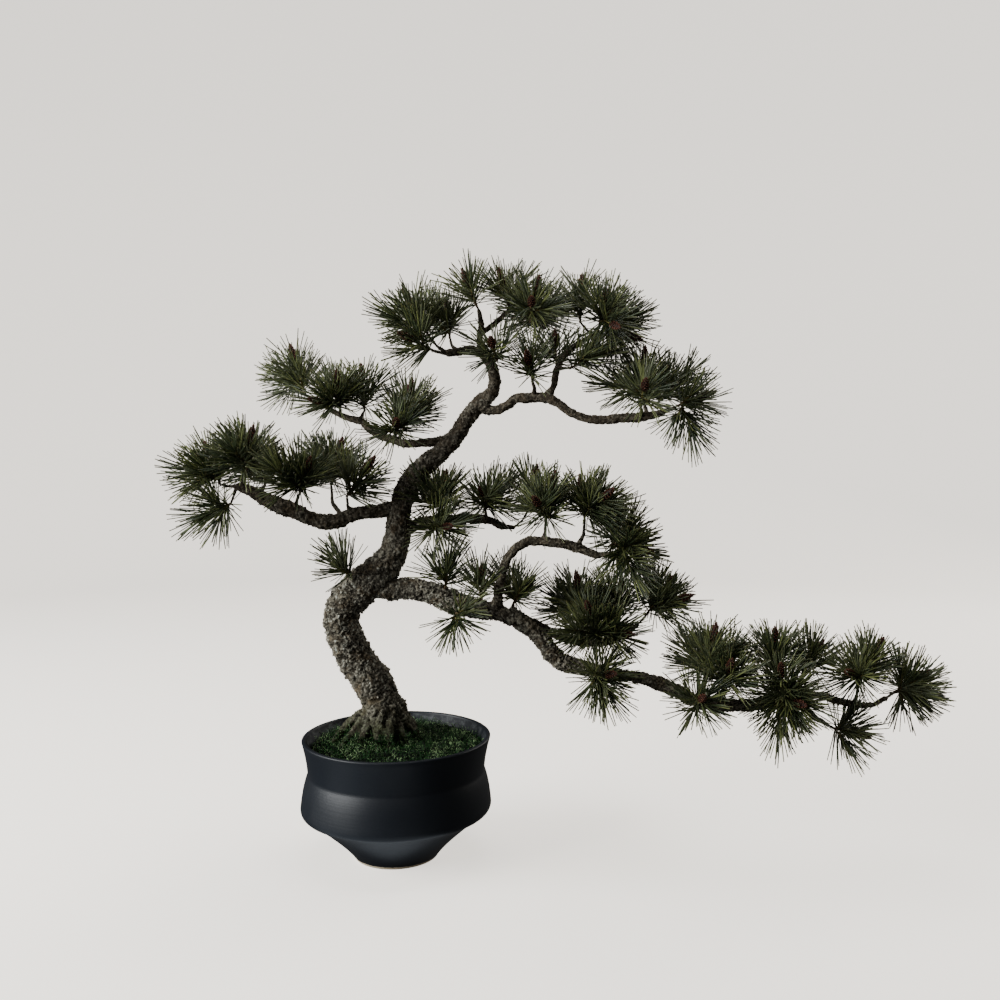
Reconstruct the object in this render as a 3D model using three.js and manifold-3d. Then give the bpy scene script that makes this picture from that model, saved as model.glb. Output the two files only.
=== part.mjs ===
// A cascading pine bonsai in a round stoneware pot, at its real size.
// Millimetres, +Z up. The origin is the middle of the pot's flat foot, and -Y is the front.
// The pieces are the pot, the soil, the moss carpet, the whole woody tree as one grown solid,
// and a node of needles and cones for each leafy twig end.

import * as THREE from 'three';
import { mergeVertices } from 'three/addons/utils/BufferGeometryUtils.js';
import Module from 'manifold-3d';

const wasm = await Module();
wasm.setup();

// ---------------------------------------------------------------- driving dimensions

const RIM_RADIUS = 100;          // the pot is 200 mm across its rim
const POT_HEIGHT = 127;
const FOOT_RADIUS = 44;
const SHOULDER_RADIUS = 101;
const SHOULDER_HEIGHT = 55;
const NECK_RADIUS = 93.5;
const NECK_HEIGHT = 91;
const WALL = 7;
const FLOOR = 12;
const LIP_WIDTH = 4.6;
const ROUND_SEGMENTS = 32;       // facets round the pot, the soil and the moss
const OUTLINE_STEPS = 2;         // straight steps in each curve of a turned outline

const FIT_GAP = 0.3;             // air between two pieces that touch
const HOLE_GAP = 0.45;           // air round the trunk and roots where they stand in the ground
const SOIL_TOP = 104;
const MOSS_EDGE = 116;           // moss height at the pot's wall
const MOSS_MOUND = 5;            // how much higher it lies at the trunk
const MOSS_RELIEF = 1;           // half the height of its lumps

const CONE_LENGTH = 17;
const CONE_RADIUS = 3.8;
const NEEDLE_LENGTH = 38;
const NEEDLE_ROOT = 2.2;         // radius that a needle's root keeps clear of others
const STEM_RADIUS = 1.15;
const STEM_SIDES = 4;
const NEEDLE_ROWS = 4;
const LEAFY_LENGTH = 18;         // length of shoot that carries needles
const NECK_LENGTH = 6;           // bare stem between the needles and the cone
const LOWEST_LEAN = 86;           // degrees that the lowest needles lean from their shoot
const HIGHEST_LEAN = 34;
const AIMS = 14;                 // tries that a needle has to find a clear way
const TWIG_END_RADIUS = 1.5;

// ---------------------------------------------------------------- small tools

const v = (x, y, z) => new THREE.Vector3(x, y, z);

/** A repeatable random number from 0 to 1 for a pair of whole numbers. */
function chance(i, j) {
  const s = Math.sin(i * 127.1 + j * 311.7 + 74.7) * 43758.5453;
  return s - Math.floor(s);
}

/** A repeatable random number maker. */
function seeded(seed) {
  let state = seed;
  return () => {
    state = (state + 0x6d2b79f5) | 0;
    let t = Math.imul(state ^ (state >>> 15), 1 | state);
    t = (t + Math.imul(t ^ (t >>> 7), 61 | t)) ^ t;
    return ((t ^ (t >>> 14)) >>> 0) / 4294967296;
  };
}

/** A closed three.js geometry as a solid for joining and cutting. */
function toSolid(geometry) {
  const bare = geometry.clone();
  bare.deleteAttribute('normal');
  bare.deleteAttribute('uv');
  const welded = mergeVertices(bare, 1e-4);
  const corners = welded.index.array;
  const kept = [];
  for (let i = 0; i < corners.length; i += 3) {
    const [a, b, c] = corners.slice(i, i + 3);
    if (a !== b && b !== c && c !== a) kept.push(a, b, c);
  }
  return new wasm.Manifold(new wasm.Mesh({
    numProp: 3,
    vertProperties: new Float32Array(welded.attributes.position.array),
    triVerts: new Uint32Array(kept),
  }));
}

/** The geometry of a solid. */
function toGeometry(solid) {
  const mesh = solid.getMesh();
  const geometry = new THREE.BufferGeometry();
  geometry.setAttribute('position', new THREE.BufferAttribute(mesh.vertProperties.slice(), 3));
  geometry.setIndex(new THREE.BufferAttribute(mesh.triVerts.slice(), 1));
  return geometry;
}

/** Several closed geometries fused into one solid. */
function fuse(geometries) {
  return geometries.map(toSolid).reduce((whole, piece) => whole.add(piece));
}

/** The largest body of a solid, without the scraps that a cut leaves. */
function largest(solid) {
  const bodies = solid.decompose();
  return bodies.reduce((best, body) => (body.volume() > best.volume() ? body : best));
}

/** A geometry from points and triangles given as lists. */
function meshOf(points, triangles) {
  const geometry = new THREE.BufferGeometry();
  const places = points.flatMap((point) => point.toArray());
  geometry.setAttribute('position', new THREE.Float32BufferAttribute(places, 3));
  geometry.setIndex(triangles.flat());
  return geometry;
}

/** A value between stops, each given as [place, value]. */
function between(stops, place) {
  for (let i = 1; i < stops.length; i += 1) {
    if (place <= stops[i][0]) {
      const share = (place - stops[i - 1][0]) / (stops[i][0] - stops[i - 1][0]);
      return THREE.MathUtils.lerp(stops[i - 1][1], stops[i][1], share);
    }
  }
  return stops[stops.length - 1][1];
}

/** The shortest way between two straight stretches: its length, and its place along each. */
function nearest(a0, a1, b0, b1) {
  const d1 = a1.clone().sub(a0);
  const d2 = b1.clone().sub(b0);
  const r = a0.clone().sub(b0);
  const [a, e, f] = [d1.dot(d1), d2.dot(d2), d2.dot(r)];
  const [c, b] = [d1.dot(r), d1.dot(d2)];
  const spread = a * e - b * b;
  let s = spread > 1e-9 ? THREE.MathUtils.clamp((b * f - c * e) / spread, 0, 1) : 0;
  const t = THREE.MathUtils.clamp((b * s + f) / e, 0, 1);
  s = THREE.MathUtils.clamp((b * t - c) / a, 0, 1);
  const gap = a0.clone().addScaledVector(d1, s).distanceTo(b0.clone().addScaledVector(d2, t));
  return { gap, s, t };
}

// ---------------------------------------------------------------- pot, soil and moss

/** The pot's inner wall from its floor up to the lip, drawn into a path, less a fit gap. */
function innerWall(path, gap) {
  path.lineTo(FOOT_RADIUS - 4 - gap, FLOOR + gap);
  path.quadraticCurveTo(64 - gap, 24 + gap, SHOULDER_RADIUS - 12 - gap, 46 + gap);
  path.lineTo(SHOULDER_RADIUS - WALL - gap, SHOULDER_HEIGHT + 4);
  path.lineTo(NECK_RADIUS - WALL - gap, NECK_HEIGHT);
}

/** A round solid from an outline that runs from the axis, up the outside and back to the axis. */
function turned(outline) {
  return new THREE.LatheGeometry(outline, ROUND_SEGMENTS).rotateX(Math.PI / 2);
}

/** The stoneware pot: a small flat foot, a flared bowl, a waisted neck and a rolled lip. */
function pot() {
  const outside = new THREE.Path();
  outside.moveTo(0, 0);
  outside.lineTo(FOOT_RADIUS, 0);
  outside.quadraticCurveTo(52, 12, 76, 33);
  outside.quadraticCurveTo(88, 43, SHOULDER_RADIUS - 3.5, 49);
  outside.quadraticCurveTo(SHOULDER_RADIUS, 51, SHOULDER_RADIUS, SHOULDER_HEIGHT);
  outside.quadraticCurveTo(98, 78, NECK_RADIUS, NECK_HEIGHT);
  outside.quadraticCurveTo(95, 104, RIM_RADIUS, POT_HEIGHT - 2);
  outside.quadraticCurveTo(RIM_RADIUS, POT_HEIGHT, RIM_RADIUS - LIP_WIDTH / 2, POT_HEIGHT);
  outside.lineTo(RIM_RADIUS - LIP_WIDTH, POT_HEIGHT - 1);
  const inside = new THREE.Path();
  inside.moveTo(0, FLOOR);
  innerWall(inside, 0);
  return turned([...outside.getPoints(OUTLINE_STEPS), ...inside.getPoints(OUTLINE_STEPS).reverse()]);
}

/** The soil, which fills the pot up to the moss. */
function soil() {
  const outline = new THREE.Path();
  outline.moveTo(0, FLOOR + FIT_GAP);
  innerWall(outline, FIT_GAP);
  outline.lineTo(wallRadius(SOIL_TOP) - FIT_GAP, SOIL_TOP);
  outline.lineTo(0, SOIL_TOP);
  return turned(outline.getPoints(OUTLINE_STEPS));
}

/** The radius of the pot's inner wall at a height above the neck. */
function wallRadius(height) {
  const share = (height - NECK_HEIGHT) / (POT_HEIGHT - 1 - NECK_HEIGHT);
  return THREE.MathUtils.lerp(NECK_RADIUS - WALL, RIM_RADIUS - LIP_WIDTH, share);
}

/** The moss carpet: a thin mound with a lumpy top that lies on the soil. */
function moss() {
  const rings = 4;
  const outline = new THREE.Path();
  outline.moveTo(0, SOIL_TOP + FIT_GAP);
  outline.lineTo(wallRadius(SOIL_TOP) - FIT_GAP, SOIL_TOP + FIT_GAP);
  const edge = wallRadius(MOSS_EDGE) - FIT_GAP - 0.2;
  for (let k = 0; k <= rings; k += 1) {
    const share = 1 - k / rings;
    outline.lineTo(edge * share, MOSS_EDGE + MOSS_MOUND * (1 - share ** 2));
  }
  const bare = turned(outline.getPoints()).deleteAttribute('normal').deleteAttribute('uv');
  const carpet = mergeVertices(bare, 1e-3);
  const place = carpet.attributes.position;
  for (let i = 0; i < place.count; i += 1) {
    const [x, y, z] = [place.getX(i), place.getY(i), place.getZ(i)];
    const inner = z > SOIL_TOP + 1 && Math.hypot(x, y) < edge - 1;
    const lump = Math.sin(x * 0.11 + y * 0.07) + Math.cos(y * 0.13 - x * 0.05) + 2 * chance(i, 5) - 1;
    if (inner) place.setZ(i, z + MOSS_RELIEF * lump);
  }
  return carpet;
}

// ---------------------------------------------------------------- wood

// Each limb is a list of points by hand, [x, y, z, radius], from the limb that carries it outwards.
const LIMBS = {
  trunk: { sides: 10, step: 12, relief: 0.13, points: [
    [-12, 8, 84, 20], [-13, 8, 106, 22], [-13, 8, 125, 23], [-16, 8, 151, 21], [-23, 7, 173, 19],
    [-36, 6, 195, 18], [-50, 5, 216, 17.5], [-58, 4, 236, 17.8], [-60, 3, 253, 17.7],
    [-53, 2, 271, 18.8], [-38, 1, 284, 19.3], [-20, 0, 300, 17.7], [-6, 0, 318, 15],
    [0, 1, 337, 13], [1, 2, 357, 11.3], [5, 3, 375, 11.3], [12, 5, 393, 11.6], [24, 7, 411, 10.8],
    [41, 9, 425, 9.2], [56, 10, 439, 8.7], [67, 10, 454, 8], [77, 9, 470, 8], [91, 8, 484, 8],
    [103, 6, 496, 6.5], [105, 4, 511, 5.9], [100, 2, 525, 5.4], [91, 0, 537, 4.8]] },
  lowerRight: { sides: 7, step: 14, relief: 0.12, points: [
    [-25, 0, 288, 13], [-7, -2, 283, 11], [13, -6, 284, 10], [31, -9, 282, 9.6],
    [45, -12, 278, 10.6], [58, -14, 272, 11.6], [74, -16, 267, 10.6], [90, -18, 263, 9.5],
    [106, -20, 261, 8], [119, -21, 258, 7.4], [132, -22, 251, 6.8], [146, -23, 242, 7],
    [157, -24, 231, 8], [166, -25, 218, 8.9], [176, -26, 210, 8.4], [191, -27, 206, 6.8],
    [210, -29, 202, 5.7], [231, -31, 198, 5.2], [250, -32, 196, 5.2], [265, -33, 193, 6.2],
    [280, -34, 188, 6.7], [294, -35, 182, 6.2], [308, -36, 174, 6.2], [341, -37, 168, 6.2],
    [378, -37, 168, 5.2], [397, -37, 171, 5.2], [418, -37, 173, 4.7], [428, -37, 178, 3.6],
    [438, -37, 180, 3.6], [451, -37, 175, 3.6], [466, -37, 171, 3.1], [486, -37, 167, 2.6],
    [501, -37, 169, 2.1], [511, -37, 175, 2.1]] },
  leftLower: { sides: 6, step: 11, relief: 0.12, points: [
    [1, 2, 370, 8.6], [-14, 0, 367, 7.5], [-28, -4, 366, 6.9], [-43, -8, 364, 6.9],
    [-56, -11, 359, 7.5], [-69, -14, 355, 8.2], [-85, -17, 358, 7.2], [-99, -20, 365, 7.4],
    [-114, -23, 371, 8.4], [-129, -26, 377, 7.3], [-143, -28, 386, 6.3], [-154, -30, 391, 5.2],
    [-163, -31, 394, 3.1]] },
  leftUpper: { sides: 5, step: 14, relief: 0.1, points: [
    [58, 10, 443, 7], [43, 14, 441, 4.9], [27, 19, 440, 4.4], [11, 24, 438, 4.4],
    [-5, 29, 442, 4.4], [-21, 34, 447, 4.4], [-33, 38, 453, 4.4], [-43, 42, 463, 3.9],
    [-59, 46, 467, 3.4], [-76, 50, 474, 2.8], [-96, 52, 486, 2.2]] },
  crownRight: { sides: 5, step: 12, relief: 0.1, points: [
    [89, 8, 480, 7], [102, 4, 473, 4.8], [114, 0, 477, 4.8], [128, -4, 487, 4.8],
    [143, -8, 487, 5.9], [158, -10, 488, 5.3], [171, -13, 482, 4.8], [186, -16, 471, 4.2],
    [201, -18, 465, 4.2], [216, -20, 463, 4.7], [237, -22, 465, 4.7], [258, -25, 466, 5.2],
    [270, -26, 468, 4.2], [283, -26, 471, 3.1]] },
  crownRiser: { sides: 4, step: 15, relief: 0.08, points: [
    [160, -10, 487, 4.8], [168, -7, 500, 3.7], [170, -4, 515, 3.7], [177, -2, 530, 3.2],
    [190, 0, 543, 3.2], [205, 0, 552, 2.7], [214, 0, 558, 2.1]] },
  crownLeft: { sides: 5, step: 14, relief: 0.1, points: [
    [93, 0, 536, 4.8], [81, -4, 539, 4.3], [68, -8, 537, 4.3], [55, -12, 534, 4.2]] },
  crownLeader: { sides: 4, step: 14, relief: 0.08, points: [
    [90, 0, 535, 4.3], [88, 2, 550, 3.8], [91, 2, 561, 3.2], [90, -2, 573, 3], [88, -6, 581, 2.2]] },
  crownBack: { sides: 4, step: 14, relief: 0.08, points: [
    [90, 2, 557, 3.2], [101, 10, 566, 3.2], [113, 16, 577, 2.7], [119, 18, 584, 2.2]] },
  middleRight: { sides: 5, step: 14, relief: 0.1, points: [
    [3, 1, 344, 8], [15, 6, 349, 6.5], [32, 14, 355, 5.4], [50, 22, 355, 5.5], [68, 28, 356, 5],
    [87, 33, 356, 5], [104, 36, 352, 3.9], [116, 38, 345, 3.3], [125, 40, 346, 2.2]] },
  riser: { sides: 5, step: 14, relief: 0.1, points: [
    [107, -20, 263, 6.8], [109, -22, 278, 4.7], [111, -24, 293, 4.2], [115, -25, 308, 4.2],
    [121, -26, 321, 4.7], [129, -27, 331, 4.7], [143, -28, 337, 4.7], [158, -28, 336, 4.7],
    [174, -28, 334, 5.2], [190, -28, 331, 4.7], [203, -28, 325, 4.2], [216, -28, 321, 3.7],
    [226, -28, 322, 2.1]] },
  lowerInner: { sides: 5, step: 14, relief: 0.1, points: [
    [122, -18, 261, 6.3], [134, -12, 254, 4.8], [146, -5, 247, 4.3], [159, 2, 240, 4.3],
    [173, 8, 231, 4.9], [188, 14, 226, 4.9], [208, 20, 221, 4.4], [228, 25, 222, 3.8],
    [246, 28, 229, 3.3], [261, 28, 240, 2.2]] },
  tailDown: { sides: 4, step: 14, relief: 0.08, points: [
    [418, -37, 173, 4.1], [428, -37, 163, 3.1], [439, -36, 153, 2.6], [450, -35, 148, 2.1]] },
};

// The surface roots, [compass angle in degrees, reach, radius at the trunk, droop]: the more
// droop a root has, the further out it stays high before it dives.
const ROOTS = [
  [186, 60, 8, 1.7], [208, 52, 6.5, 1.4], [234, 44, 7, 1.2], [262, 42, 9, 1.4], [290, 42, 7, 1.6],
  [318, 40, 6, 1.3], [352, 46, 7, 1.2], [28, 48, 7, 1.2], [92, 38, 7, 1.2], [146, 44, 7, 1.2],
];
const ROOT_CENTRE = v(-14, 8, 0);
const ROOT_START = 6;            // how far from the centre a root starts, inside the trunk
const ROOT_TOP = 151;
const ROOT_END = 111;
const ROOT_STOPS = 5;

/** The curve and the radius of a limb from its hand-set points. */
function limbShape(points) {
  const curve = new THREE.CatmullRomCurve3(points.map(([x, y, z]) => v(x, y, z)), false, 'centripetal');
  const fine = 30;
  const lengths = curve.getLengths(fine * (points.length - 1));
  const whole = lengths[lengths.length - 1];
  const stops = points.map((point, i) => [lengths[fine * i] / whole, point[3]]);
  return { curve, whole, radiusAt: (place) => between(stops, place) };
}

/** A closed tube of rings along a curve, with bark relief, grown outwards by a gap if asked. */
function tube(curve, radiusAt, { rings, sides, relief = 0, salt = 0, grow = 0 }) {
  const frames = curve.computeFrenetFrames(rings, false);
  const points = [];
  const triangles = [];
  for (let i = 0; i <= rings; i += 1) {
    const end = i === 0 ? -grow : grow * (i === rings);
    const middle = curve.getPointAt(i / rings).addScaledVector(frames.tangents[i], end);
    for (let j = 0; j < sides; j += 1) {
      const turn = (2 * Math.PI * (j + 0.5 * (i % 2))) / sides;
      const bark = 1 + relief * (chance(i + 31 * salt, j) - 0.5) * (i < rings);
      const radius = radiusAt(i / rings) * bark + grow;
      points.push(middle.clone()
        .addScaledVector(frames.normals[i], radius * Math.cos(turn))
        .addScaledVector(frames.binormals[i], radius * Math.sin(turn)));
    }
  }
  for (let i = 0; i < rings; i += 1) {
    for (let j = 0; j < sides; j += 1) {
      const k = (j + 1) % sides;
      const [a, b, c, d] = [i * sides + j, i * sides + k, (i + 1) * sides + j, (i + 1) * sides + k];
      triangles.push(...(i % 2 ? [[a, b, d], [a, d, c]] : [[a, b, c], [b, d, c]]));
    }
  }
  for (let j = 1; j < sides - 1; j += 1) {
    const last = rings * sides;
    triangles.push([0, j + 1, j], [last, last + j, last + j + 1]);
  }
  return meshOf(points, triangles);
}

/** One limb as a closed tube. */
function limb({ points, sides, step, relief }, salt, grow = 0) {
  const { curve, whole, radiusAt } = limbShape(points);
  return tube(curve, radiusAt, { rings: Math.round(whole / step), sides, relief, salt, grow });
}

/** One surface root, which leaves the trunk, runs out and dives under the moss. */
function rootPoints([angle, reach, radius, droop]) {
  const away = v(Math.cos(angle * Math.PI / 180), Math.sin(angle * Math.PI / 180), 0);
  return Array.from({ length: ROOT_STOPS }, (unused, i) => {
    const share = i / (ROOT_STOPS - 1);
    const bend = 5 * Math.sin(angle + 4 * share);
    const out = THREE.MathUtils.lerp(ROOT_START, reach, share ** 0.8);
    const spot = ROOT_CENTRE.clone().addScaledVector(away, out);
    const x = spot.x - away.y * bend * share;
    const y = spot.y + away.x * bend * share;
    const height = THREE.MathUtils.lerp(ROOT_TOP, ROOT_END, share ** droop);
    return [x, y, height, radius * (1 - 0.72 * share)];
  });
}

/** The foot of the tree, which stands in the ground: the trunk's lower end and the roots. */
function treeFoot(grow) {
  const roots = ROOTS.map((root, i) => (
    limb({ points: rootPoints(root), sides: 5, step: 18, relief: 0.14 }, 40 + i, grow)));
  return [limb(LIMBS.trunk, 0, grow), ...roots];
}

// ---------------------------------------------------------------- sprays

const cone = (x, y, z) => ({ at: v(x, y, z), cone: true });
const tuft = (x, y, z) => ({ at: v(x, y, z), cone: false });
const spray = (name, foot, ...shoots) => ({ name: `spray_${name}`, foot: v(...foot), shoots });

// Each spray: its name, where its stem leaves the twig, and the middle of each cone or tuft tip.
const SPRAYS = [
  spray('left_tip', [-182, -24, 396], cone(-195, -27, 433), tuft(-207, -36, 411)),
  spray('left_top', [-150, -40, 409], cone(-142, -48, 449), tuft(-153, -72, 432)),
  spray('left_hanging', [-168, -35, 376], tuft(-193, -45, 364)),
  spray('left_back', [-142, 5, 397], tuft(-176, 28, 428)),
  spray('left_middle', [-95, -38, 388], cone(-83, -52, 418), tuft(-111, -74, 412)),
  spray('left_inner', [-73, 12, 395], cone(-64, 20, 438), tuft(-94, 42, 426)),
  spray('left_root', [-51, -14, 383], cone(-25, -20, 419)),
  spray('upper_tip', [-110, 52, 495], cone(-126, 55, 544), tuft(-143, 74, 518)),
  spray('upper_front', [-68, 38, 477], cone(-67, 15, 512), cone(-90, 5, 486), cone(-67, 58, 512)),
  spray('upper_middle', [-43, 50, 477], cone(-48, 58, 522)),
  spray('upper_inner', [3, 30, 454], cone(11, 34, 504), tuft(22, 48, 484)),
  spray('upper_burst', [-4, 22, 448], cone(1, -16, 462)),
  spray('crown_tip', [35, -14, 553], cone(12, -16, 595), tuft(2, -34, 569)),
  spray('crown_top_left', [56, 6, 553], cone(53, 8, 586), tuft(29, 42, 590)),
  spray('crown_peak', [86, -10, 585], cone(74, -18, 615)),
  spray('crown_low_left', [41, -24, 536], cone(14, -48, 549)),
  spray('crown_peak_right', [119, 18, 591], cone(110, 14, 622), tuft(132, 32, 615)),
  spray('crown_front', [143, -16, 567], cone(151, -24, 606), cone(144, -56, 584)),
  spray('crown_crest', [197, 12, 571], cone(199, 12, 615)),
  spray('crown_crest_front', [216, -22, 566], cone(220, -38, 592), cone(230, -60, 557)),
  spray('crown_crest_right', [225, 15, 562], cone(243, 24, 596), tuft(259, 44, 579), cone(256, -14, 550)),
  spray('crown_heart', [108, -18, 527], cone(103, -54, 543)),
  spray('crown_low_front', [145, -22, 505], cone(140, -54, 528)),
  spray('crown_middle', [171, 6, 522], cone(170, 14, 556)),
  spray('crown_low_right', [185, -18, 518], tuft(213, -36, 531)),
  spray('crown_behind', [159, 44, 568], tuft(131, 66, 596), tuft(172, 76, 599)),
  spray('right_top', [261, -18, 487], cone(264, -14, 534), tuft(228, -2, 502)),
  spray('right_front', [256, -44, 477], cone(257, -80, 498)),
  spray('right_upper', [279, -8, 481], cone(288, 0, 519), tuft(315, 18, 515)),
  spray('right_tip', [297, -26, 478], cone(329, -30, 490), tuft(310, -36, 451)),
  spray('middle_left', [44, 12, 365], cone(51, 10, 403), tuft(29, 2, 389)),
  spray('middle_burst', [37, -2, 349], cone(59, -42, 353)),
  spray('middle_top', [94, 28, 364], cone(90, 0, 388), tuft(117, 48, 392)),
  spray('middle_peak', [141, 32, 366], cone(149, 30, 408)),
  spray('middle_crest', [159, -24, 356], cone(168, -26, 402), cone(148, -58, 381)),
  spray('middle_right', [200, -25, 358], cone(196, -18, 398), cone(223, -52, 388), cone(233, -28, 370)),
  spray('middle_tip', [229, -14, 331], cone(258, -2, 343), cone(263, -40, 328), tuft(238, 36, 350),
    tuft(248, -58, 306)),
  spray('lower_first', [53, -18, 286], tuft(58, -24, 316)),
  spray('lower_cone', [92, -20, 274], cone(92, -25, 304)),
  spray('lower_second', [125, -14, 269], cone(143, -8, 291), tuft(116, 12, 295)),
  spray('lower_under', [64, -27, 261], tuft(69, -50, 254)),
  spray('inner_crest', [200, 10, 246], cone(193, 6, 294), tuft(178, 24, 267)),
  spray('inner_front', [217, -10, 232], cone(203, -34, 269), cone(244, -46, 242), tuft(185, -52, 248)),
  spray('inner_top', [232, 20, 246], cone(242, 22, 283), tuft(217, 50, 264)),
  spray('inner_low', [209, -34, 197], cone(225, -70, 207), tuft(214, -50, 184)),
  spray('inner_right', [270, 22, 252], cone(299, 30, 289), cone(311, 2, 274), tuft(284, 60, 274)),
  spray('tail_first', [323, -38, 194], cone(333, -42, 246), tuft(314, -18, 219), cone(367, -24, 226)),
  spray('tail_front', [339, -50, 186], cone(342, -78, 219)),
  spray('tail_burst', [312, -48, 170], cone(313, -88, 188)),
  spray('tail_crest', [397, -36, 198], cone(396, -38, 241)),
  spray('tail_heart', [402, -50, 174], cone(392, -80, 215), cone(410, -88, 181), tuft(394, -60, 151)),
  spray('tail_back', [430, -18, 194], cone(451, -8, 223)),
  spray('tail_right', [484, -36, 191], cone(506, -34, 230), cone(463, -66, 208)),
  spray('tail_tip', [521, -36, 181], cone(550, -38, 200), tuft(548, -26, 170)),
  spray('tail_fall', [458, -35, 143], cone(487, -38, 136)),
  spray('trunk', [-46, -15, 299], tuft(-57, -25, 314)),
];

/** The rings of a shoot, [distance along it, radius], and the length of its stem and whole. */
function shootSections(reach, bearsCone) {
  const whole = bearsCone ? reach + CONE_LENGTH / 2 : reach;
  const stem = bearsCone ? whole - CONE_LENGTH : whole - 2;
  const top = bearsCone ? Math.max(stem - NECK_LENGTH, stem * 0.72) : stem;
  const bottom = Math.max(top - LEAFY_LENGTH, 1.6);
  const sections = [[0, STEM_RADIUS]];
  for (let row = 0; row <= NEEDLE_ROWS; row += 1) {
    sections.push([THREE.MathUtils.lerp(bottom, top, row / NEEDLE_ROWS), STEM_RADIUS]);
  }
  if (bearsCone) {
    sections.push([stem, STEM_RADIUS], [stem + 5, CONE_RADIUS], [stem + 11, 0.72 * CONE_RADIUS]);
  }
  return { sections, whole };
}

/** A shoot from its foot towards its tip: its rings of points, and the faces between them. */
function shootStem(foot, shoot) {
  const axis = shoot.at.clone().sub(foot);
  const reach = axis.length();
  axis.normalize();
  const { sections, whole } = shootSections(reach, shoot.cone);
  const side = v(0.31, 0.95, 0.13).cross(axis).normalize();
  const other = axis.clone().cross(side);
  const points = [];
  sections.forEach(([along, radius], i) => {
    for (let j = 0; j < STEM_SIDES; j += 1) {
      const turn = (2 * Math.PI * (j + 0.37 * i)) / STEM_SIDES;
      points.push(foot.clone().addScaledVector(axis, along)
        .addScaledVector(side, radius * Math.cos(turn)).addScaledVector(other, radius * Math.sin(turn)));
    }
  });
  const apex = points.push(foot.clone().addScaledVector(axis, whole)) - 1;
  const faces = [];
  for (let i = 0; i < sections.length - 1; i += 1) {
    for (let j = 0; j < STEM_SIDES; j += 1) {
      const k = (j + 1) % STEM_SIDES;
      const [a, b] = [i * STEM_SIDES + j, i * STEM_SIDES + k];
      const [c, d] = [a + STEM_SIDES, b + STEM_SIDES];
      const row = i >= 1 && i <= NEEDLE_ROWS ? (i - 1) / (NEEDLE_ROWS - 1) : null;
      const lowerBears = (i + j) % 2 === 0;
      faces.push({ corners: [a, b, c], row: lowerBears ? row : null });
      faces.push({ corners: [b, d, c], row: lowerBears ? null : row });
    }
  }
  const last = apex - STEM_SIDES;
  for (let j = 0; j < STEM_SIDES; j += 1) {
    faces.push({ corners: [last + j, last + (j + 1) % STEM_SIDES, apex], row: null });
    if (j > 0 && j < STEM_SIDES - 1) faces.push({ corners: [0, j + 1, j], row: null });
  }
  return { axis, whole, points, faces };
}

/** Whether a needle keeps clear of all that is there already. */
function isClear(root, tip, own, needles, blocks) {
  for (const block of blocks) {
    const { gap, s } = nearest(root, tip, block.from, block.to);
    const atOwnRoot = block.own === own && s < 0.1;
    if (!atOwnRoot && gap < block.radius + NEEDLE_ROOT * (1 - s) + FIT_GAP) return false;
  }
  for (const needle of needles) {
    if (needle.middle.distanceToSquared(root) < 70 * 70) {
      const { gap, s, t } = nearest(root, tip, needle.root, needle.tip);
      const sameStem = needle.own === own && s < 0.12 && t < 0.12;
      const room = NEEDLE_ROOT * (2 - s - t) + FIT_GAP;
      if (!sameStem && gap < room) return false;
    }
  }
  return true;
}

/** Raises a needle from each bearing face of a shoot that has room for one. */
function raiseNeedles(stem, own, random, needles, blocks) {
  const { axis, points, faces } = stem;
  const triangles = [];
  for (const { corners, row } of faces) {
    const [a, b, c] = corners.map((corner) => points[corner]);
    let tip = null;
    if (row !== null) {
      const root = a.clone().add(b).add(c).divideScalar(3);
      const out = b.clone().sub(a).cross(c.clone().sub(a)).normalize();
      for (let attempt = 0; attempt < AIMS && tip === null; attempt += 1) {
        const sway = 0.1 + 0.045 * attempt;
        const rise = THREE.MathUtils.lerp(LOWEST_LEAN, HIGHEST_LEAN, row);
        const lean = THREE.MathUtils.degToRad(rise) + sway * (random() - 0.5);
        const around = 2 * sway * (random() - 0.5);
        const heading = out.clone().applyAxisAngle(axis, around).multiplyScalar(Math.sin(lean))
          .addScaledVector(axis, Math.cos(lean)).normalize();
        const aim = root.clone().addScaledVector(heading, NEEDLE_LENGTH * (0.86 + 0.22 * random()));
        if (isClear(root, aim, own, needles, blocks)) tip = aim;
      }
      if (tip) needles.push({ root, tip, own, middle: root.clone().lerp(tip, 0.5) });
    }
    if (tip) {
      const peak = points.push(tip) - 1;
      corners.forEach((corner, i) => triangles.push([corner, corners[(i + 1) % 3], peak]));
    } else {
      triangles.push(corners);
    }
  }
  return meshOf(points, triangles);
}

/** The feet of a spray's shoots: the first stands on the twig, the others fork from it. */
function shootFeet({ foot, shoots }) {
  const first = shoots[0].at.clone().sub(foot);
  return shoots.map((shoot, i) => foot.clone().addScaledVector(first, i === 0 ? 0 : 0.06 + 0.06 * i));
}

/** The twig that carries a spray, from the nearest limb to the spray's foot. */
function twig({ foot, shoots }, limbPoints) {
  const spot = limbPoints.reduce((best, point) => (
    point.middle.distanceTo(foot) < best.middle.distanceTo(foot) ? point : best));
  const heading = shoots[0].at.clone().sub(foot).normalize();
  const reach = spot.middle.distanceTo(foot);
  const knee = spot.middle.clone().lerp(foot, 0.45).addScaledVector(spot.tangent, 0.12 * reach);
  const end = foot.clone().addScaledVector(heading, -FIT_GAP - 0.05);
  const curve = new THREE.CubicBezierCurve3(
    spot.middle, knee, foot.clone().addScaledVector(heading, -0.35 * reach), end);
  const thick = Math.min(0.6 * spot.radius, 3.2);
  return { curve, radiusAt: (place) => THREE.MathUtils.lerp(thick, TWIG_END_RADIUS, place) };
}

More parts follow.
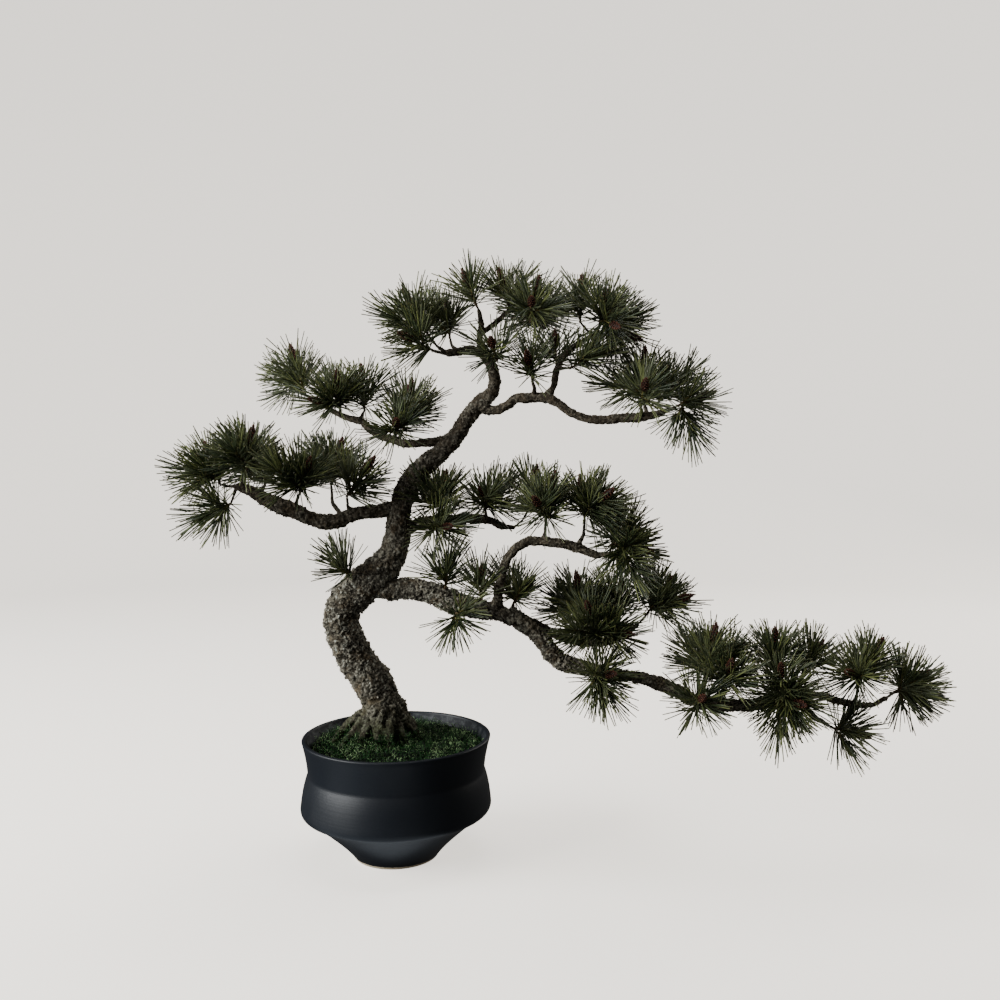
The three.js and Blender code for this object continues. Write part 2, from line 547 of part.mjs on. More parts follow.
/** Stretches of a curve as straight blocks that needles keep clear of. */
function blocksAlong(curve, radiusAt, count) {
  const spots = Array.from({ length: count + 1 }, (unused, i) => curve.getPointAt(i / count));
  return spots.slice(1).map((spot, i) => ({
    from: spots[i], to: spot, own: -1,
    radius: 1.07 * Math.max(radiusAt(i / count), radiusAt((i + 1) / count)),
  }));
}

/** The fused wood, and the sprays on it. */
function tree() {
  const limbPoints = [];
  const blocks = [];
  for (const { points } of Object.values(LIMBS)) {
    const { curve, whole, radiusAt } = limbShape(points);
    const count = Math.round(whole / 6);
    blocks.push(...blocksAlong(curve, radiusAt, count));
    for (let i = 1; i <= count; i += 1) {
      limbPoints.push({
        middle: curve.getPointAt(i / count),
        tangent: curve.getTangentAt(i / count),
        radius: radiusAt(i / count),
      });
    }
  }
  const twigs = SPRAYS.map((entry) => twig(entry, limbPoints));
  twigs.forEach(({ curve, radiusAt }) => blocks.push(...blocksAlong(curve, radiusAt, 4)));
  const stems = SPRAYS.map((entry) => {
    const feet = shootFeet(entry);
    return entry.shoots.map((shoot, i) => shootStem(feet[i], shoot));
  });
  let own = 0;
  for (const stem of stems.flat()) {
    const [foot, end] = [stem.points.slice(0, STEM_SIDES), stem.points[stem.points.length - 1]];
    const from = foot.reduce((sum, point) => sum.add(point), v(0, 0, 0)).divideScalar(STEM_SIDES);
    const neck = end.clone().addScaledVector(stem.axis, -CONE_LENGTH);
    stem.own = own;
    blocks.push({ from, to: neck, own, radius: STEM_RADIUS });
    blocks.push({ from: neck, to: end, own, radius: CONE_RADIUS });
    own += 1;
  }
  const random = seeded(41);
  const needles = [];
  const foliage = SPRAYS.map(({ name }, i) => {
    const shoots = stems[i].map((stem) => raiseNeedles(stem, stem.own, random, needles, blocks));
    return { name, geometry: toGeometry(largest(fuse(shoots))) };
  });
  const limbs = Object.values(LIMBS).slice(1).map((shape, i) => limb(shape, 1 + i));
  const twigTubes = twigs.map(({ curve, radiusAt }, i) => (
    tube(curve, radiusAt, { rings: 2, sides: 3, salt: 60 + i })));
  const wood = fuse([...treeFoot(0), ...limbs, ...twigTubes]);
  return { wood: largest(wood), foliage };
}

// ---------------------------------------------------------------- the whole part

const STONEWARE = new THREE.MeshStandardMaterial({ color: 0x26292e, roughness: 0.55, metalness: 0 });
const EARTH = new THREE.MeshStandardMaterial({ color: 0x3a2c20, roughness: 0.95, metalness: 0 });
const MOSS_GREEN = new THREE.MeshStandardMaterial({ color: 0x2f4a22, roughness: 0.95, metalness: 0 });
const BARK = new THREE.MeshStandardMaterial({ color: 0x5f5546, roughness: 0.9, metalness: 0 });
const NEEDLE_GREEN = new THREE.MeshStandardMaterial({ color: 0x2d3f28, roughness: 0.6, metalness: 0 });

const group = new THREE.Group();

/** Adds a named sub-part to the group. */
function place(name, geometry, material) {
  const mesh = new THREE.Mesh(geometry, material);
  mesh.name = name;
  group.add(mesh);
}

const { wood, foliage } = tree();
const hole = fuse(treeFoot(HOLE_GAP));
place('pot', pot(), STONEWARE);
place('soil', toGeometry(largest(toSolid(soil()).subtract(hole))), EARTH);
place('moss', toGeometry(largest(toSolid(moss()).subtract(hole))), MOSS_GREEN);
place('trunk_and_branches', toGeometry(wood), BARK);
foliage.forEach(({ name, geometry }) => place(name, geometry, NEEDLE_GREEN));

export default group;
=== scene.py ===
"""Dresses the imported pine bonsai: its stoneware pot, moss, weathered wood, needles and cones.

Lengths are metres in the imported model's own frame: +Z up, -Y the front, and the origin in the
middle of the pot's foot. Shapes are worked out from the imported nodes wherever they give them.
"""
import logging
import math
from dataclasses import dataclass, field, fields
from enum import Enum
from typing import Callable, Optional, Sequence, Union

import bmesh
import bpy
import numpy as np
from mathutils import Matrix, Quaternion, Vector


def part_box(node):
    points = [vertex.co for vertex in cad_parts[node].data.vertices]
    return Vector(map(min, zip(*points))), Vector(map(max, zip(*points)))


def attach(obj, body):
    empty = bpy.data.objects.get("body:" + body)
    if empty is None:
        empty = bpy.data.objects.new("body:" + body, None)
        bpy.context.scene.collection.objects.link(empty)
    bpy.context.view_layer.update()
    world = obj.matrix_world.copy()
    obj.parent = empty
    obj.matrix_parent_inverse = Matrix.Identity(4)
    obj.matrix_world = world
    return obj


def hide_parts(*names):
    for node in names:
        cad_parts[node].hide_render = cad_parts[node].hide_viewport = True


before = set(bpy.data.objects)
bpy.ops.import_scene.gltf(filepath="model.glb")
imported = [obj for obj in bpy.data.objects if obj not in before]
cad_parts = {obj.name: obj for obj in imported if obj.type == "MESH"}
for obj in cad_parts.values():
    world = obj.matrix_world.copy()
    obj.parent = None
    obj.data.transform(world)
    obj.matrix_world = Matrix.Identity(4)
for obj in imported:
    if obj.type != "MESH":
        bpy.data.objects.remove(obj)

BODY = "root"
WELD = 2e-6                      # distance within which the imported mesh's corners are one
FULL_TURN = 2 * math.pi
GOLDEN_TURN = math.pi * (3 - math.sqrt(5))
SOCKET_KINDS = {float: "NodeSocketFloat", int: "NodeSocketInt", bpy.types.Material: "NodeSocketMaterial"}

log = logging.getLogger("bonsai")

Operand = Union["Wire", float, int, tuple]
Linear = tuple[float, float, float, float]
Outline = Sequence[tuple[float, float]]
Stretch = tuple[Vector, Vector]


def shade(*screen: int) -> Linear:
    """A shader's colour from a screen colour's red, green and blue, which go from 0 to 255."""
    parts = [channel / 255 for channel in screen]
    return (*(part / 12.92 if part <= 0.04045 else ((part + 0.055) / 1.055) ** 2.4 for part in parts), 1.0)


# ------------------------------------------------------------------ node trees as expressions


def operator(operation: str, reflected: bool = False) -> Callable[["Wire", Operand], "Wire"]:
    """Makes an operator of wires.

    Args:
        operation: What it works out, as the Math nodes name it.
        reflected: Whether the wire is the second operand.

    Returns:
        The method.
    """
    def method(wire: "Wire", other: Operand) -> "Wire":
        """Adds the Math node for a wire and another operand."""
        return wire.graph.maths(operation, *((other, wire) if reflected else (wire, other)))

    return method


@dataclass(frozen=True, eq=False)
class Wire:
    """One output socket of a node, on which sums are written."""

    graph: "Graph"
    socket: bpy.types.NodeSocket

    __add__, __radd__ = operator("ADD"), operator("ADD", True)
    __sub__, __rsub__ = operator("SUBTRACT"), operator("SUBTRACT", True)
    __mul__, __rmul__ = operator("MULTIPLY"), operator("MULTIPLY", True)
    __pow__, __rpow__ = operator("POWER"), operator("POWER", True)


@dataclass(frozen=True, eq=False)
class Placed:
    """A node that is in a tree."""

    graph: "Graph"
    node: bpy.types.Node

    def __getitem__(self, key: Union[str, int]) -> Wire:
        """An output, by its name, identifier or number."""
        return Wire(self.graph, socket_of(self.node.outputs, key))


def socket_of(sockets: Sequence[bpy.types.NodeSocket], key: Union[str, int]) -> bpy.types.NodeSocket:
    """The socket of a number, or the one in use that has a name or identifier."""
    in_use = (each for each in sockets if each.enabled and key in (each.name, each.identifier))
    return sockets[key] if isinstance(key, int) else next(in_use)


class Ease(Enum):
    """How a stretch of values is spread over 0 to 1."""

    SMOOTH = "SMOOTHSTEP"
    STRAIGHT = "LINEAR"


class Graph:
    """A node tree that is written as expressions."""

    def __init__(self, tree: bpy.types.NodeTree, source: str, output: str) -> None:
        """Wraps a tree, and adds the node whose named output is the place of a point."""
        self.tree = tree
        self.place = self.add(source)[output]

    def add(self, kind: str, sockets: Optional[dict] = None, **settings: object) -> Placed:
        """Adds any node.

        Args:
            kind: The node's type.
            sockets: Values or wires, by the socket's name, identifier or number.
            **settings: Its own settings, which are set first.

        Returns:
            The node.
        """
        node = self.tree.nodes.new(kind)
        for key, value in settings.items():
            setattr(node, key, value)
        for key, value in (sockets or {}).items():
            self.feed(socket_of(node.inputs, key), value)
        return Placed(self, node)

    def feed(self, socket: bpy.types.NodeSocket, value: Operand) -> None:
        """Links a wire to an input, or sets the input's own value.

        Args:
            socket: The input.
            value: A wire or a constant.
        """
        if isinstance(value, Wire):
            self.tree.links.new(value.socket, socket)
        elif socket.type == "VECTOR" and isinstance(value, (int, float)):
            socket.default_value = (value,) * 3
        else:
            socket.default_value = value

    def maths(self, operation: str, first: Operand, second: Operand = 0.0) -> Wire:
        """Adds one sum, on numbers or on vectors.

        Args:
            operation: The sum, as the Math nodes name it.
            first: The first operand.
            second: The second operand.

        Returns:
            The result.
        """
        vectors = [isinstance(term, tuple) or (isinstance(term, Wire) and term.socket.type == "VECTOR")
                   for term in (first, second)]
        if not any(vectors):
            return self.add("ShaderNodeMath", {0: first, 1: second}, operation=operation)[0]
        if operation == "MULTIPLY" and not all(vectors):
            vector, number = (first, second) if vectors[0] else (second, first)
            return self.add("ShaderNodeVectorMath", {0: vector, "Scale": number}, operation="SCALE")[0]
        return self.add("ShaderNodeVectorMath", {0: first, 1: second}, operation=operation)[0]

    def limited(self, value: Wire, low: float, high: float, ease: Ease = Ease.SMOOTH) -> Wire:
        """Spreads the values from low to high over 0 to 1."""
        sockets = {"Value": value, "From Min": low, "From Max": high}
        return self.add("ShaderNodeMapRange", sockets, interpolation_type=ease.value)["Result"]

    def blend(self, share: Operand, first: Operand, second: Operand) -> Wire:
        """Mixes two colours by the share of the second, from 0 to 1."""
        sockets = {"Factor": share, "A": first, "B": second}
        return self.add("ShaderNodeMix", sockets, data_type="RGBA")["Result"]

    def noise(self, per_metre: Operand, detail: float = 3.0, rough: float = 0.55,
              place: Optional[Wire] = None) -> Wire:
        """A noise from 0 to 1, by its lumps in a metre and the number and strength of its finer layers."""
        sockets = {"Vector": place or self.place, "Scale": per_metre, "Detail": detail, "Roughness": rough}
        return self.add("ShaderNodeTexNoise", sockets)[0]

    def patches(self, per_metre: float, detail: float, rough: float, low: float, high: float) -> Wire:
        """A noise as patches: none below the low limit, full above the high one."""
        return self.limited(self.noise(per_metre, detail, rough), low, high)

    def axis(self, vector: Wire, name: str) -> Wire:
        """The X, Y or Z of a vector."""
        return self.add("ShaderNodeSeparateXYZ", {0: vector})[name]

    def height(self) -> Wire:
        """How high a point is."""
        return self.axis(self.place, "Z")

    def radius(self) -> Wire:
        """How far a point is from the pot's axis."""
        x, y = self.axis(self.place, "X"), self.axis(self.place, "Y")
        return self.maths("SQRT", x * x + y * y)

    def vector(self, x: Operand, y: Operand, z: Operand) -> Wire:
        """A vector from three numbers."""
        return self.add("ShaderNodeCombineXYZ", {"X": x, "Y": y, "Z": z})["Vector"]


@dataclass
class Recipe(Graph):
    """A Geometry Nodes tree that turns a guide mesh into a finished one. Its fields are its inputs."""

    finish: bpy.types.Material

    def __post_init__(self) -> None:
        """Starts the tree, with a named input for each field, and writes it."""
        tree = bpy.data.node_groups.new(type(self).__name__, "GeometryNodeTree")
        super().__init__(tree, "GeometryNodeInputPosition", "Position")
        for way in ("INPUT", "OUTPUT"):
            tree.interface.new_socket("Geometry", in_out=way, socket_type="NodeSocketGeometry")
        self.entry = tree.nodes.new("NodeGroupInput")
        self.source = self.size("geometry")
        self.values: dict[str, object] = {}
        for each in fields(self):
            value = getattr(self, each.name)
            kind = SOCKET_KINDS[type(value)]
            socket = tree.interface.new_socket(self.label(each.name), in_out="INPUT", socket_type=kind)
            self.values[socket.identifier] = value
        self.write()

    def write(self) -> None:
        """Writes the nodes between the guide and the finished mesh."""
        raise NotImplementedError

    @staticmethod
    def label(name: str) -> str:
        """The input's name for a field's."""
        return name.replace("_", " ").capitalize()

    def size(self, name: str) -> Wire:
        """A field's input, for use inside the tree."""
        return Wire(self, self.entry.outputs[self.label(name)])

    def keep(self, geometry: Wire, name: str, value: Operand) -> Wire:
        """Stores a number on each point of a geometry."""
        sockets = {"Geometry": geometry, "Name": name, "Value": value}
        return self.add("GeometryNodeStoreNamedAttribute", sockets,
                        data_type="FLOAT", domain="POINT")["Geometry"]

    def recall(self, name: str) -> Wire:
        """Reads a stored number by its name."""
        return self.add("GeometryNodeInputNamedAttribute", {"Name": name}, data_type="FLOAT")[0]

    def chance(self, low: Operand, high: Operand, seed: int) -> Wire:
        """A seeded random number for each element."""
        sockets = {"Min": low, "Max": high, "Seed": seed}
        return self.add("FunctionNodeRandomValue", sockets, data_type="FLOAT")["Value"]

    def join(self, *parts: Wire) -> Wire:
        """Joins geometries into one.

        Args:
            *parts: The geometries.

        Returns:
            The joined geometry.
        """
        node = self.tree.nodes.new("GeometryNodeJoinGeometry")
        for part in parts:
            self.tree.links.new(part.socket, node.inputs[0])
        return Wire(self, node.outputs[0])

    def move(self, geometry: Wire, offset: Wire) -> Wire:
        """Moves each point of a geometry by an offset."""
        return self.add("GeometryNodeSetPosition", {"Geometry": geometry, "Offset": offset})["Geometry"]

    def lines(self) -> Wire:
        """The guide's loose edges as curves."""
        return self.add("GeometryNodeMeshToCurve", {"Mesh": self.source})["Curve"]

    def share(self) -> Wire:
        """How far along its spline a point is, from 0 to 1."""
        return self.add("GeometryNodeSplineParameter")["Factor"]

    def resampled(self, curve: Wire, count: int) -> Wire:
        """A curve with evenly spaced points."""
        return self.add("GeometryNodeResampleCurve", {"Curve": curve, "Count": count})["Curve"]

    def stalk(self, length: Wire) -> Wire:
        """An upright line of four points, each marked with its share of the length."""
        line = self.add("GeometryNodeCurvePrimitiveLine", {"End": self.vector(0, 0, length)})["Curve"]
        return self.keep(self.resampled(line, 4), "share", self.share())

    def strand(self, curve: Wire, radius: Operand, sides: int) -> Wire:
        """Turns a curve into a closed strand.

        Args:
            curve: The curve.
            radius: The strand's radius at each point.
            sides: How many sides it has.

        Returns:
            The strand's mesh.
        """
        ring = self.add("GeometryNodeCurvePrimitiveCircle", {"Resolution": sides, "Radius": 1.0})
        sockets = {"Curve": curve, "Profile Curve": ring["Curve"], "Scale": radius, "Fill Caps": True}
        return self.add("GeometryNodeCurveToMesh", sockets)["Mesh"]

    def aimed(self, direction: Wire, roll: Operand) -> Wire:
        """The turn that rolls an instance about its own Z axis and then points that in a direction."""
        rolled = self.add("FunctionNodeAxisAngleToRotation", {"Axis": (0, 0, 1), "Angle": roll})[0]
        return self.add("FunctionNodeAlignRotationToVector", {"Rotation": rolled, "Vector": direction},
                        axis="Z")["Rotation"]

    def spots(self, curve: Wire, mode: str, **sockets: Operand) -> Placed:
        """Points on a curve, with its normal and tangent there."""
        return self.add("GeometryNodeCurveToPoints", {"Curve": curve, **sockets}, mode=mode)

    def spiral(self, spots: Placed, sway: Operand = 0.0) -> Wire:
        """The way out from a curve at each spot, which goes round it as leaves do.

        Args:
            spots: The spots.
            sway: An angle that is added to each turn.

        Returns:
            The direction, square to the curve.
        """
        turn = self.add("GeometryNodeInputIndex")[0] * GOLDEN_TURN + sway
        sockets = {"Vector": spots["Normal"], "Axis": spots["Tangent"], "Angle": turn}
        return self.add("ShaderNodeVectorRotate", sockets, rotation_type="AXIS_ANGLE")["Vector"]

    def scatter(self, density: Wire, seed: int, **sockets: Operand) -> Placed:
        """Random points on the guide's faces, with their normals."""
        sockets.update({"Mesh": self.source, "Density": density, "Seed": seed})
        return self.add("GeometryNodeDistributePointsOnFaces", sockets, distribute_method="RANDOM")

    def plant(self, points: Wire, shapes: Sequence[Wire], rotation: Wire, scale: Operand,
              seed: int) -> Wire:
        """Sets one of several shapes on each point.

        Args:
            points: The points.
            shapes: The shapes to pick from.
            rotation: Each shape's turn.
            scale: Each shape's scale.
            seed: The seed of the pick.

        Returns:
            The instances.
        """
        rows = [self.add("GeometryNodeGeometryToInstance", {0: shape})[0] for shape in shapes]
        pick = self.add("FunctionNodeRandomValue", {"Min": 0, "Max": len(shapes) - 1, "Seed": seed},
                        data_type="INT")["Value"]
        return self.add("GeometryNodeInstanceOnPoints", {
            "Points": points, "Instance": self.join(*rows), "Pick Instance": True,
            "Instance Index": pick, "Rotation": rotation, "Scale": scale})["Instances"]

    def close(self, geometry: Wire) -> None:
        """Ends the tree: its instances are made real and take the finish.

        Args:
            geometry: What the tree makes.
        """
        real = self.add("GeometryNodeRealizeInstances", {"Geometry": geometry})["Geometry"]
        dressed = self.add("GeometryNodeSetMaterial", {"Geometry": real, "Material": self.size("finish")})
        leave = self.tree.nodes.new("NodeGroupOutput")
        self.tree.links.new(dressed["Geometry"].socket, leave.inputs[0])

    def grow(self, guide: bpy.types.Object, name: str) -> bpy.types.Object:
        """Runs the tree on a guide and keeps what it makes as a plain mesh.

        Args:
            guide: The object that the tree starts from, which is used up.
            name: The new piece's name.

        Returns:
            The new piece.
        """
        modifier = guide.modifiers.new(name, "NODES")
        modifier.node_group = self.tree
        for identifier, value in self.values.items():
            modifier[identifier] = value
        piece = plain(guide, name)
        piece.data.materials.clear()
        piece.data.materials.append(self.finish)
        piece.data.polygons.foreach_set("material_index", [0] * len(piece.data.polygons))
        return piece


# ------------------------------------------------------------------ mesh tools


def plain(source: bpy.types.Object, name: str) -> bpy.types.Object:
    """Replaces an object by a plain mesh, as its modifiers leave it.

    Args:
        source: The object, which is removed.
        name: The new piece's name.

    Returns:
        The new piece.
    """
    graph = bpy.context.evaluated_depsgraph_get()
    mesh = bpy.data.meshes.new_from_object(
        source.evaluated_get(graph), preserve_all_data_layers=True, depsgraph=graph)
    mesh.name = name
    piece = shown(name, mesh)
    bpy.data.objects.remove(source)
    return piece


def shown(name: str, data: bpy.types.ID) -> bpy.types.Object:
    """Puts a mesh, lamp or camera in the scene, at the origin.

    Args:
        name: The object's name.
        data: What it shows.

    Returns:
        The object.
    """
    piece = bpy.data.objects.new(name, data)
    bpy.context.scene.collection.objects.link(piece)
    return piece


def mesh_piece(name: str, points: Sequence, faces: Sequence, edges: Sequence = ()) -> bpy.types.Object:
    """Makes an object.

    Args:
        name: The object's name.
        points: The points.
        faces: The faces, as indices of points.
        edges: Loose edges, as indices of points.

    Returns:
        The object.
    """
    mesh = bpy.data.meshes.new(name)
    mesh.from_pydata([tuple(point) for point in points], edges, faces)
    mesh.update()
    return shown(name, mesh)


def stretches(name: str, ends: Sequence[Stretch], **marks: Sequence[float]) -> bpy.types.Object:
    """Makes a guide of loose edges, each with its own numbers.

    Args:
        name: The guide's name.
        ends: The two ends of each edge.
        **marks: Numbers by name, one for each edge.

    Returns:
        The guide.
    """
    points = [point for pair in ends for point in pair]
    guide = mesh_piece(name, points, (), [(2 * i, 2 * i + 1) for i in range(len(ends))])
    for mark, numbers in marks.items():
        layer = guide.data.attributes.new(mark, "FLOAT", "POINT")
        layer.data.foreach_set("value", np.repeat(np.array(numbers, float), 2))
    return guide


def welded(node: str) -> bmesh.types.BMesh:
    """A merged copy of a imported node, whose own mesh is loose triangles.

    Args:
        node: The node.

    Returns:
        The copy.
    """
    mesh = bmesh.new()
    mesh.from_mesh(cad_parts[node].data)
    bmesh.ops.remove_doubles(mesh, verts=mesh.verts, dist=WELD)
    return mesh


def bow(start: tuple, knee: tuple, end: tuple, steps: int) -> list[tuple[float, float]]:
    """A curve between two points of an outline, pulled towards a third.

    Args:
        start: Where it starts, radius and height.
        knee: What it is pulled towards.
        end: Where it ends.
        steps: How many points it gives.

    Returns:
        Its points after the start.
    """
    shares = [(i + 1) / steps for i in range(steps)]
    return [tuple((1 - s) ** 2 * a + 2 * s * (1 - s) * b + s * s * c
                  for a, b, c in zip(start, knee, end)) for s in shares]


def turned(name: str, outline: Outline, segments: int, closed: bool = True) -> bpy.types.Object:
    """Turns an outline about the Z axis into a smooth piece.

    Args:
        name: The piece's name.
        outline: Points as radius and height, from the axis, and back to it if the piece is closed.
        segments: How many steps go round.
        closed: Whether it faces outwards and has a top. Otherwise it is open and faces inwards.

    Returns:
        The piece.
    """
    low, *rings = outline[:-1] if closed else outline
    points = [(0.0, 0.0, low[1])]
    for radius, height in rings:
        for turn in np.linspace(0, FULL_TURN, segments, endpoint=False):
            points.append((radius * math.cos(turn), radius * math.sin(turn), height))
    last = len(points)
    if closed:
        points.append((0.0, 0.0, outline[-1][1]))
    faces = []
    for j in range(segments):
        k = (j + 1) % segments
        faces.append((0, 1 + k, 1 + j))
        if closed:
            faces.append((last, last - segments + j, last - segments + k))
        for i in range(len(rings) - 1):
            a, b = 1 + i * segments + j, 1 + i * segments + k
            faces.append((a, b, b + segments, a + segments))
    piece = mesh_piece(name, points, faces if closed else [face[::-1] for face in faces])
    piece.data.shade_smooth()
    return piece


def twin(piece: bpy.types.Object) -> bpy.types.Object:
    """A copy of a piece, with a mesh of its own, for a recipe to use up.

    Args:
        piece: The piece.

    Returns:
        The copy.
    """
    copy = piece.copy()
    copy.data = piece.data.copy()
    copy.parent = None
    bpy.context.scene.collection.objects.link(copy)
    return copy


def settle(piece: bpy.types.Object, slot: str, *nodes: str) -> bpy.types.Object:
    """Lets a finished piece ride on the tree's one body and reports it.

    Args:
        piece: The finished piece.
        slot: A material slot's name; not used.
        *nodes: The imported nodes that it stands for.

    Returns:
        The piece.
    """
    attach(piece, BODY)
    if nodes:
        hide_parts(*nodes)
    log.info("%s: %d faces, stands for %d nodes", piece.name, len(piece.data.polygons), len(nodes))
    return piece


# ------------------------------------------------------------------ finishes


class Canvas(Graph):
    """A material's node tree, which a finish is painted on."""

    def __init__(self, tree: bpy.types.NodeTree) -> None:
        """Takes the tree and the inputs of its shader."""
        super().__init__(tree, "ShaderNodeTexCoord", "Object")
        self.inputs = tree.nodes["Principled BSDF"].inputs

    def mark(self, name: str) -> Wire:
        """A number that is stored on the mesh."""
        return self.add("ShaderNodeAttribute", attribute_name=name)["Fac"]

    def colour(self, value: Wire) -> None:
        """Wires the base colour."""
        self.feed(self.inputs["Base Color"], value)

    def relief(self, height: Wire, depth: float) -> None:
        """Gives the surface a fine relief, whose depth is in metres."""
        bump = self.add("ShaderNodeBump", {"Height": height, "Distance": depth, "Strength": 1.0})
        self.feed(self.inputs["Normal"], bump["Normal"])


@dataclass(frozen=True)
class Finish:
    """A surface finish: its name, and the numbers that are the same all over it."""

    name: str
    gloss: float = 0.3
    roughness: float = 0.6

    def build(self) -> bpy.types.Material:
        """Makes the material.

        Returns:
            The material.
        """
        material = bpy.data.materials.new(self.name)
        material.use_nodes = True
        canvas = Canvas(material.node_tree)
        canvas.inputs["Specular IOR Level"].default_value = self.gloss
        canvas.inputs["Roughness"].default_value = self.roughness
        self.paint(canvas)
        return material

    def dress(self, piece: bpy.types.Object) -> None:
        """Gives a piece a new material of this finish, and no other."""
        piece.data.materials.clear()
        piece.data.materials.append(self.build())

    def paint(self, canvas: Canvas) -> None:
        """Wires what changes over the surface, on the material's tree."""
        raise NotImplementedError


@dataclass(frozen=True)
class Stoneware(Finish):
    """Matte blue-black stoneware with an unglazed foot ring and a limed inner wall."""

    gloss: float = 0.29
    glaze: Linear = shade(11, 16, 23)
    warm: Linear = shade(20, 23, 28)
    clay: Linear = shade(214, 198, 170)
    lime: Linear = shade(78, 81, 82)
    ring_height: float = 0.0029
    ring_waver: float = 0.0012
    ring_edge: float = 0.0003
    ground_height: float = 0.114
    lime_rise: float = 0.006
    inner_radius: float = 0.0955

    def paint(self, canvas: Canvas) -> None:
        """Wires the glaze, the bare foot ring, the limed wall and the throwing lines.

        Args:
            canvas: The material's tree.
        """
        height = canvas.height()
        glaze = canvas.blend(canvas.patches(14, 2.0, 0.55, 0.35, 0.7), self.glaze, self.warm)
        edge = height + (canvas.noise(260, 2.0) - 0.5) * self.ring_waver
        bare = 1 - canvas.limited(edge, self.ring_height - self.ring_edge, self.ring_height + self.ring_edge)
        inside = (1 - canvas.limited(canvas.radius(), self.inner_radius - 0.0006, self.inner_radius)) * (
            canvas.limited(height, self.ground_height, self.ground_height + self.lime_rise))
        limed = inside * canvas.patches(130, 4.0, 0.7, 0.42, 0.72) * 0.85
        canvas.colour(canvas.blend(limed, canvas.blend(bare, glaze, self.clay), self.lime))
        canvas.feed(canvas.inputs["Roughness"], 0.4 + canvas.noise(60) * 0.1 + bare * 0.35 + inside * 0.2)
        thrown = canvas.noise(420, 2.0, place=canvas.vector(0, 0, height))
        canvas.relief(canvas.noise(1500, 3.0, 0.6) + thrown * 1.6, 0.00005)


@dataclass(frozen=True)
class Bark(Finish):
    """Granular grey-brown bark, darker high up, with cracks partly in painted shade, lichen that is partly
    painted light at the bend, and green growth at its foot.
    """

    gloss: float = 0.12
    # the fissures' own dark, and painted shade in the bark's hollows
    crack: Linear = shade(30, 25, 17)
    plate: Linear = shade(136, 131, 117)
    rust: Linear = shade(98, 86, 67)
    lichen: Linear = shade(186, 187, 174)
    twig: Linear = shade(92, 80, 60)
    algae: Linear = shade(40, 56, 27)
    dusk: Linear = shade(62, 51, 38)
    foot_height: float = 0.122
    green_height: float = 0.175
    dusk_height: float = 0.31
    dusk_rise: float = 0.05

    def paint(self, canvas: Canvas) -> None:
        """Wires the wood's browns, the dark upper part, the lichen with painted light at the bend, the green
        foot and the cracks with painted shade in the hollows.

        Args:
            canvas: The material's tree.
        """
        height, ridge, girth = canvas.height(), canvas.mark("ridge"), canvas.mark("girth")
        grain, patches = canvas.noise(520, 4.0, 0.65), canvas.noise(70, 4.0, 0.6)
        old = canvas.blend(canvas.limited(patches, 0.42, 0.68), self.plate, self.rust)
        young = canvas.blend(canvas.limited(grain, 0.35, 0.65), self.twig, self.plate)
        ripe = canvas.blend(canvas.limited(girth, 0.003, 0.009), young, old)
        # the bark is made darker above a set height, by height alone
        high = canvas.limited(height, self.dusk_height, self.dusk_height + self.dusk_rise)
        wood = canvas.blend(high * (0.32 + canvas.limited(patches, 0.4, 0.6) * 0.35), ripe, self.dusk)
        # painted light, partly: more pale lichen on the trunk's bend, where the key light falls; the rest is
        # real lichen
        bend = canvas.limited(height, 0.17, 0.22) * (1 - canvas.limited(height, 0.26, 0.32))
        reach = 0.15 + canvas.patches(26, 2.0, 0.55, 0.42, 0.6) * 0.35 + bend * 0.75
        share = canvas.patches(230, 4.0, 0.7, 0.5, 0.66) * reach * canvas.limited(girth, 0.004, 0.012)
        grey = canvas.blend(share * canvas.limited(ridge, 0.35, 0.6), wood, self.lichen)
        low = 1 - canvas.limited(height, self.foot_height, self.green_height)
        growth = low * canvas.limited(patches + grain * 0.3, 0.35, 0.7) * 0.95
        # painted shade: the low parts of the relief, between plates and grains, take the dark crack colour,
        # partly the fissures' own dark
        depth = canvas.limited(ridge * 0.8 + patches * 0.3 + grain * 0.2, 0.42, 0.84)
        canvas.colour(canvas.blend(depth, self.crack, canvas.blend(growth, grey, self.algae)))
        canvas.feed(canvas.inputs["Roughness"], 0.72 + grain * 0.25)
        canvas.relief(grain + canvas.noise(1400, 2.0) * 0.4, 0.0009)


@dataclass(frozen=True)
class Needle(Finish):
    """Stiff green needles, paler at the sheath, some of them yellow-green."""

    roughness: float = 0.42
    gloss: float = 0.5
    deep: Linear = shade(44, 55, 30)
    fresh: Linear = shade(114, 120, 68)
    grey: Linear = shade(91, 97, 70)
    sheath: Linear = shade(96, 84, 52)
    tip: Linear = shade(92, 84, 50)

    def paint(self, canvas: Canvas) -> None:
        """Wires each needle's own green, its sheath and its tip.

        Args:
            canvas: The material's tree.
        """
        share, tone = canvas.mark("share"), canvas.mark("tone")
        base = canvas.blend(canvas.patches(28, 2.0, 0.55, 0.35, 0.65), self.deep, self.grey)
        own = canvas.blend(canvas.limited(tone, 0.5, 1.0, Ease.STRAIGHT) * 0.85, base, self.fresh)
        rooted = canvas.blend(1 - canvas.limited(share, 0.02, 0.12), own, self.sheath)
        canvas.colour(canvas.blend(canvas.limited(share, 0.93, 1.0) * 0.7, rooted, self.tip))


@dataclass(frozen=True)
class YoungWood(Finish):
    """Leafy shoots: brown where they leave the twig, pale yellow-green above."""

    gloss: float = 0.15
    brown: Linear = shade(70, 56, 40)
    pale: Linear = shade(108, 102, 60)

    def paint(self, canvas: Canvas) -> None:
        """Wires the change from brown to yellow-green and the scars between needles.

        Args:
            canvas: The material's tree.
        """
        scars = canvas.noise(700)
        up = canvas.limited(canvas.mark("share") + scars * 0.3, 0.2, 0.85)
        canvas.colour(canvas.blend(up, self.brown, self.pale))
        canvas.relief(scars, 0.0003)


